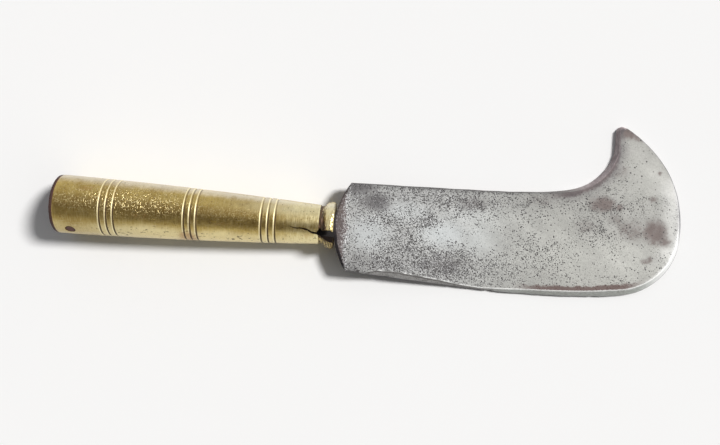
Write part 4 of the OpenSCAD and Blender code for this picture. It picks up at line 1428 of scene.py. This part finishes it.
# %% The opening
# Along the handle from its neck end, across it, and the crack's width
CRACK = ((-15.5, -1.9, 0.2), (-12.4, -2.75, 0.5), (-9.0, -2.6, 0.65), (-6.2, -3.05, 0.85),
         (-3.4, -4.35, 1.1), (-1.0, -4.75, 1.3))
OPENING_LOW = ((-0.6, -5.4), (0.8, -6.1), (2.4, -7.2), (4.8, -8.6), (9.6, -9.6))
OPENING_HIGH = ((9.6, -3.9), (8.0, -3.4), (6.3, -2.4), (3.2, -2.7), (1.7, -3.1), (0.7, -1.3),
                (-0.3, -2.9))
WANDER, OUTLINE_STEP = 0.22, 0.3
BREAK_FLOOR, BREAK_START, BREAK_TOP, BREAK_STEP = 3.0, 3.6, 14.6, 0.55


def opening_ring():
    """The opening in plan, anticlockwise, in close steps, with how far each point may wander."""
    corners = [(a, b - w / 2, w * WANDER) for a, b, w in CRACK]
    corners += [(a, b, WANDER) for a, b in OPENING_LOW + OPENING_HIGH]
    corners += [(a, b + w / 2, w * WANDER) for a, b, w in reversed(CRACK)]
    ring = []
    for start, end in zip(corners, corners[1:] + corners[:1]):
        start, end = np.array(start), np.array(end)
        steps = max(1, int(np.linalg.norm((end - start)[:2]) / OUTLINE_STEP))
        ring += [mix(start, end, k / steps) for k in range(steps)]
    return np.array(ring)


def make_cutter():
    """A ragged prism over the opening, from just above the tang upwards."""
    ring = opening_ring()
    wander, n = ring[:, 2], len(ring)
    levels = [BREAK_FLOOR, *np.arange(BREAK_START, BREAK_TOP, BREAK_STEP)]
    points = []
    for z in levels:
        spot = np.column_stack([ring[:, :2], np.full(n, z)])
        along = waves(spot, 1.6, 51) * 0.6 + waves(spot, 0.8, 53) * 0.4
        across = waves(spot, 1.5, 52) * 0.6 + waves(spot, 0.8, 54) * 0.4
        shift = np.column_stack([along * wander, across * wander, 0 * wander])
        points.append(spot + shift + [HANDLE_L, 0, 0])
    ends = [tuple(reversed(range(n))), tuple(range((len(levels) - 1) * n, len(levels) * n))]
    prism = mesh_object("opening_cutter", np.vstack(points), tube_faces(len(levels), n) + ends,
                        ON_HANDLE)
    prism.data.materials.append(FRACTURE)
    work = bmesh.new()
    work.from_mesh(prism.data)
    bmesh.ops.triangulate(work, faces=[f for f in work.faces if len(f.verts) > 4])
    work.to_mesh(prism.data)
    work.free()
    return prism


cutter = make_cutter()
print("cutter points:", len(cutter.data.vertices))

# %% [markdown]
# A Boolean on such a ragged cut leaves hairline gaps, and flakes of a few faces that hang in the
# air. They can't be seen here, but they would be stray faces in every use of the meshes. So the
# smallest faces are joined, and what still hangs together in fewer than a dozen faces is removed.

# %% Cutting cleanly
SMALL_FACE, JOIN_GAP, FLAKE = 0.2 * MM, 0.002 * MM, 12


def shell_from(start, seen):
    """All faces that can be reached from one face over edges with exactly two faces."""
    shell, queue = [], [start]
    seen.add(start)
    while queue:
        face = queue.pop()
        shell.append(face)
        for edge in face.edges:
            if len(edge.link_faces) == 2:
                fresh = [f for f in edge.link_faces if f not in seen]
                seen.update(fresh)
                queue += fresh
    return shell


def drop_flakes(mesh):
    """Closes the hairline gaps that a Boolean leaves and removes its loose flakes."""
    work = bmesh.new()
    work.from_mesh(mesh)
    torn = [f for f in work.faces if len(f.verts) > 4 or f.calc_area() < SMALL_FACE ** 2]
    bmesh.ops.triangulate(work, faces=torn)
    bmesh.ops.remove_doubles(work, verts=work.verts[:], dist=JOIN_GAP)
    bmesh.ops.dissolve_degenerate(work, edges=work.edges[:], dist=JOIN_GAP / 2)
    seen = set()
    shells = [shell_from(face, seen) for face in work.faces if face not in seen]
    flakes = [face for shell in shells if len(shell) < FLAKE for face in shell]
    bmesh.ops.delete(work, geom=flakes, context="FACES")
    open_edges = sum(len(e.link_faces) != 2 for e in work.edges)
    print(mesh.name, "flakes removed:", len(flakes), "open edges:", open_edges)
    work.to_mesh(mesh)
    work.free()


def cut(piece, cutter):
    """Takes the cutter out of the piece."""
    modifier = piece.modifiers.new("opening", "BOOLEAN")
    modifier.operation, modifier.solver, modifier.object = "DIFFERENCE", "EXACT", cutter
    modifier.material_mode = "TRANSFER"
    piece.data = plain_mesh(piece, modifier, piece.name)
    drop_flakes(piece.data)
    print(piece.name, "after the cut:", len(piece.data.polygons), "faces")


print("helpers: shell_from, drop_flakes, cut")

# %% [markdown]
# Now the sleeve with its nine grooves and the collar are turned, each by the same lathe with another
# profile, and cut open. The nail's hole is cut as well, a plain drilled one at right angles to the
# brass. The dents come from the lathe, few on the sleeve and more on the rougher collar.

# %% Sleeve and collar
BRASS_CREASE = math.radians(38)


def nail_matrix():
    """From the lathe's axis to the nail's, which stands on the brass."""
    upright = Matrix.Rotation(math.radians(-90), 4, "Y")
    turn = Matrix.Rotation(math.radians(NAIL_TURN), 4, "X")
    return ON_HANDLE @ Matrix.Translation((NAIL_X, 0, 0)) @ turn @ upright


(first, outer_pitch), (second, middle_pitch), (third, _) = GROUPS
sleeve = turned("brass_sleeve", sleeve_profile(), BRASS, steps=180, groove_width=GROOVE_W,
                groove_depth=GROOVE_D, outer_pitch=outer_pitch, middle_pitch=middle_pitch,
                first_group=first, second_group=second, third_group=third,
                dents=0.25, dent_size=0.12, seed=4.0)
collar = turned("brass_collar", collar_profile(), COLLAR_BRASS, steps=180, dents=1.3,
                dent_size=0.75, seed=9.0)
nail_top = float(sleeve_r(NAIL_X)) - NAIL_SUNK
hole_floor, hole_top, hole_r = nail_top - NAIL_T - FIT, nail_top + 3, NAIL_R + FIT
hole = turned("nail_hole", [(hole_floor, 0, 0), (hole_floor, hole_r, 0), (hole_top, hole_r, 0),
                            (hole_top, 0, 0)], FRACTURE, steps=48, matrix=nail_matrix())
for piece, tool in ((sleeve, cutter), (collar, cutter), (sleeve, hole)):
    cut(piece, tool)
for tool in (cutter, hole):
    bpy.data.objects.remove(tool)
for piece in (sleeve, collar):
    face_outwards(piece)
    piece.data.set_sharp_from_angle(angle=BRASS_CREASE)

# %% [markdown]
# Where the brass is hammered, stained, sooty or bright is known along and across the handle, so each
# point is taken back to the handle's own axis and given a number for each kind of wear and painted
# light. Past the neck end lie the hollow of the collar, which holds soot and painted shade, and its
# ring, which is rubbed bright and has a painted highlight on its upper side, as the neck end's lip has.

# %% Wear on the brass
# Each place on the upper side: along the axis, across it, radii along and across, how strong
HAMMERED = ((40, 4.5, 33, 7, 1.0), (98, 2.0, 20, 7, 0.35), (125, 3.0, 10, 6, 0.25))
BROWNED = ((71, -12.0, 6, 3, 0.9), (17, 9.5, 6, 2.5, 0.6), (47, -3.0, 9, 2.5, 0.5),
           (90, -4, 12, 2, 0.45), (120, 9, 8, 2, 0.4), (134, -6.5, 5, 2, 0.5))


def soot_and_shade_at(past, across):
    """Soot and painted shade in the collar's hollow, which reach further on the belly's side."""
    on_collar = past > -0.05
    reach = mix(3.3, 5.0, np.clip((7 - across) / 9, 0, 1))
    soot = np.clip((reach - past) / 2.6, 0, 1) * on_collar * mix(0.8, 1, np.clip((8 - across) / 8, 0, 1))
    soot *= np.clip((across + 9) / 3, 0.35, 1)
    return np.maximum(soot, np.clip((-4.0 - across) / 3, 0, 0.42) * on_collar)


def rubbed_and_lit_at(past, across, on_top):
    """The collar's ring, rubbed, with a painted highlight on top, and a painted highlight on the neck
    end's lip.
    """
    ring = np.clip((past - 2.6) / 1.4, 0, 1) * np.clip((across + 5) / 2, 0.12, 1) * on_top
    return np.maximum(ring, np.clip(1 - np.abs(past + 0.5) / 0.5, 0, 1))


on_axis = ON_HANDLE.inverted()
for piece in (sleeve, collar):
    places = np.array([tuple(on_axis @ (v.co / MM)) for v in piece.data.vertices])
    past, across, on_top = places[:, 0] - HANDLE_L, places[:, 1], places[:, 2] > 0
    mark(piece, hammered=soft_spots(places, HAMMERED) * on_top, cove=soot_and_shade_at(past, across),
         ring=rubbed_and_lit_at(past, across, on_top), neck=np.clip((past + 22) / 10, 0, 1) * (past < 0.05),
         tan=soft_spots(places, BROWNED) * on_top)
    print(piece.name, "attributes:", [a.name for a in piece.data.attributes if a.data_type == "FLOAT"])

# %% [markdown]
# The butt is closed by an iron disc with a rounded rim. The tang's end comes through it and is
# riveted over, a low head that fills the countersink. The nail's head is round and sunk a little into
# the brass; it looks oval because it stands on the slope of the tube. All three are plain turned
# pieces, so the lathe makes them too.

# %% Disc, rivet and nail
IRON_CREASE = math.radians(50)
disc_r, round_x = BUTT_R - DISC_INSET, DISC_ROUND - DISC_T
rim = [(round_x - DISC_ROUND * math.sin(a), disc_r - DISC_ROUND + DISC_ROUND * math.cos(a), 1)
       for a in np.linspace(math.pi / 2, 0, 6)]
disc = turned("butt_disc_plate",
              [(-DISC_T, 0, 0), (-DISC_T, RIVET_R, 0), (-DISC_T, disc_r * 0.6, 0), *rim,
               (-0.5, disc_r, 1), (0, disc_r - 0.1, 0), (0, 0, 0)],
              IRON, steps=144, dents=0.35, dent_size=0.35, seed=2.0)
rivet = turned("tang_rivet",
               [(-0.4, 0, 0), (-0.4, RIVET_NECK, 0), (-DISC_T, RIVET_R - 0.15, 0),
                (-DISC_T - 0.1, 3.6, 0), (-DISC_T - 0.2, 2.2, 0), (-DISC_T - 0.23, 0, 0)],
               IRON, steps=64)
nail = turned("nail_head",
              [(nail_top - NAIL_T, 0, 0), (nail_top - NAIL_T, NAIL_R * 0.9, 0),
               (nail_top - 0.35, NAIL_R, 1), (nail_top - 0.1, NAIL_R - 0.12, 1),
               (nail_top, NAIL_R - 0.6, 0), (nail_top - 0.08, 0, 0)],
              IRON, steps=64, matrix=nail_matrix(), dents=0.3, dent_size=0.5, seed=6.0)
for piece in (disc, rivet, nail):
    piece.data.set_sharp_from_angle(angle=IRON_CREASE)

# %% [markdown]
# The blade's material needs to know more than the distance from the edge: how near a point is to the
# forged heel, whether it is on the hook's inner side, how wide the bevel is beside it, what marks lie
# on it, and whether it faces down. Then the creases get sharp shading, except in the hook, whose
# border is worn round.

# %% Blade finish
STEEL_CREASE = math.radians(28)
flat = blade_points[:, :2]
past_chamfer = flat[:, 0] - heel_line(flat[:, 1]) - heel_chamfer_at(flat[:, 1])
near_heel = np.clip(0.5 - past_chamfer / 3.6, 0, 1) * (flat[:, 0] < BEND_X)
hook_part = on_hook(outline[nearest])
middle_z = under_z(flat[:, 0]) + blade_t(flat[:, 0]) / 2
beneath = np.clip((middle_z - blade_points[:, 2]) / 0.8, 0, 1) * (hook_part < 0.5)
in_part = flat - [MID_X, MID_Y]
mark(blade, heel=near_heel, hook=hook_part, bevel=width[nearest], under=beneath,
     stain=soft_spots(in_part, STAINS), wiped=soft_spots(in_part, WIPED),
     speckled=soft_spots(in_part, SPECKLED))
blade.data.set_sharp_from_angle(angle=STEEL_CREASE)
sharp_edges = blade.data.attributes["sharp_edge"].data
for edge in blade.data.edges:
    if min(hook_part[edge.vertices[0]], hook_part[edge.vertices[1]]) > 0.5:
        sharp_edges[edge.index].value = False
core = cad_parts["core"]
core.data.materials.clear()
for piece, finish in ((blade, STEEL), (tang, SHADED_IRON), (core, WOOD)):
    piece.data.materials.append(finish)
print("attributes:", [a.name for a in blade.data.attributes if a.data_type == "FLOAT"])

# %% [markdown]
# The table is plain white, and a little whiter to the camera than to the light that it throws back.
# The sun stands halfway up, beyond the nose on the beak's side, so the shadow falls to the belly and
# the butt. The sky is soft and white, but dark right above the tool, where the one who takes the
# picture stands, a little greyer on the beak's side, and dimmer low down beyond the butt. One even
# sky would be simpler, but on the round brass the dark patch becomes the brown stripe along the top,
# and without it the handle would look flat. From the side the camera sees a plain pale backdrop.

# %% Table and light
TO_SUN, SUN_STRENGTH, SUN_WIDTH = Vector((0.83, 0.41, 1.0)).normalized(), 3.32, 12
SKY, BACKDROP, SKY_STRENGTH = (0.97, 0.985, 1.0), (0.925, 0.925, 0.92), 0.36
# Darker parts of the sky: direction, angles where the change starts and ends, colour
OVERHEAD = (Vector((0.05, -0.43, 1.0)).normalized(), 43, 14, (0.13, 0.11, 0.09))
BEHIND = (Vector((0.1, 1.1, 0.85)).normalized(), 60, 15, (0.76, 0.77, 0.80))
DIM_QUARTER = (-0.69, -0.69, 0.22)
TABLE_HALF = 3000


def make_table():
    """A plain white table, matt, with hardly any unevenness."""
    material, net, point = new_material("table_white")
    shade = net.noise(point, 0.006, 3.0, 0.5)
    seen = net.add("ShaderNodeLightPath")["Is Camera Ray"]
    whiter = net.mix(shade, (0.935, 0.935, 0.935), (0.95, 0.95, 0.95))
    colour = net.mix(seen, net.mix(shade, (0.90, 0.90, 0.90), (0.915, 0.915, 0.915)), whiter)
    finish_material(net, colour, 0.9, 0.0, shade, 0.02, Specular_IOR_Level=0.0)
    corners = [(x * TABLE_HALF, y * TABLE_HALF, 0) for x, y in ((-1, -1), (1, -1), (1, 1), (-1, 1))]
    table = mesh_object("table", corners, [(0, 1, 2, 3)])
    table.data.materials.append(material)
    return table


def make_sun():
    """A slightly hazy sun."""
    data = bpy.data.lights.new("sun", "SUN")
    data.energy, data.angle = SUN_STRENGTH, math.radians(SUN_WIDTH)
    data.color = (1.0, 0.99, 0.975)
    lamp = bpy.data.objects.new("sun", data)
    lamp.rotation_euler = TO_SUN.to_track_quat("Z", "Y").to_euler()
    bpy.context.collection.objects.link(lamp)


def towards(net, direction, aim):
    """How far a direction points towards an aim: the cosine of the angle between them."""
    return net.add("ShaderNodeVectorMath", {"operation": "DOT_PRODUCT"},
                   {0: direction, 1: tuple(aim)})["Value"]


def make_sky():
    """A white sky with darker parts; reflections see it brighter than the light that it gives."""
    world = bpy.data.worlds.new("sky")
    world.use_nodes = True
    bpy.context.scene.world = world
    net = Net(world.node_tree)
    net.tree.nodes.clear()
    direction = net.add("ShaderNodeTexCoord")["Generated"]
    sky = SKY
    for aim, outer, inner, colour in (BEHIND, OVERHEAD):
        share = towards(net, direction, aim).step(math.cos(math.radians(outer)),
                                                  math.cos(math.radians(inner)))
        sky = net.mix(share, sky, colour)
    path = net.add("ShaderNodeLightPath")
    sky = net.mix(path["Is Camera Ray"], sky, BACKDROP)
    seen = (path["Is Camera Ray"] + path["Is Glossy Ray"] + path["Is Transmission Ray"]).clamp()
    dim = towards(net, direction, DIM_QUARTER).step(0.05, 0.7)
    strength = SKY_STRENGTH * (1.15 - dim * 0.9) * (1 - seen) + seen
    shine = net.add("ShaderNodeBackground", None, {"Color": sky, "Strength": strength})
    net.add("ShaderNodeOutputWorld", None, {"Surface": shine[0]})


table = make_table()
table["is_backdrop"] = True
make_sun()
make_sky()
bpy.context.scene.view_settings.view_transform = "Standard"
print("sun towards", [round(v, 3) for v in TO_SUN])

# %% [markdown]
# Last, each piece is put on one body, since nothing on a billhook moves, and the solid that it stands
# for is hidden; the table also names its finish. The core is the imported solid itself, so it needs
# nothing more.

# %% Pieces on one body
PIECES = ((blade, "steel", "blade"), (tang, "steel", "blade"), (rivet, "steel", "blade"),
          (sleeve, "brass", "handle_sleeve"), (collar, "brass", "collar"),
          (disc, "iron", "butt_disc"), (nail, "iron", "nail"))
for piece, slot, node in PIECES:
    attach(piece, "root")
    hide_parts(node)
    triangles = sum(len(p.vertices) - 2 for p in piece.data.polygons)
    print(piece.name, "for", node, triangles, "triangles")
visual_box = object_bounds()
for name, corners in (("cad", cad_box), ("visual", visual_box)):
    print(name, [[round(v * 1000, 2) for v in c] for c in corners])
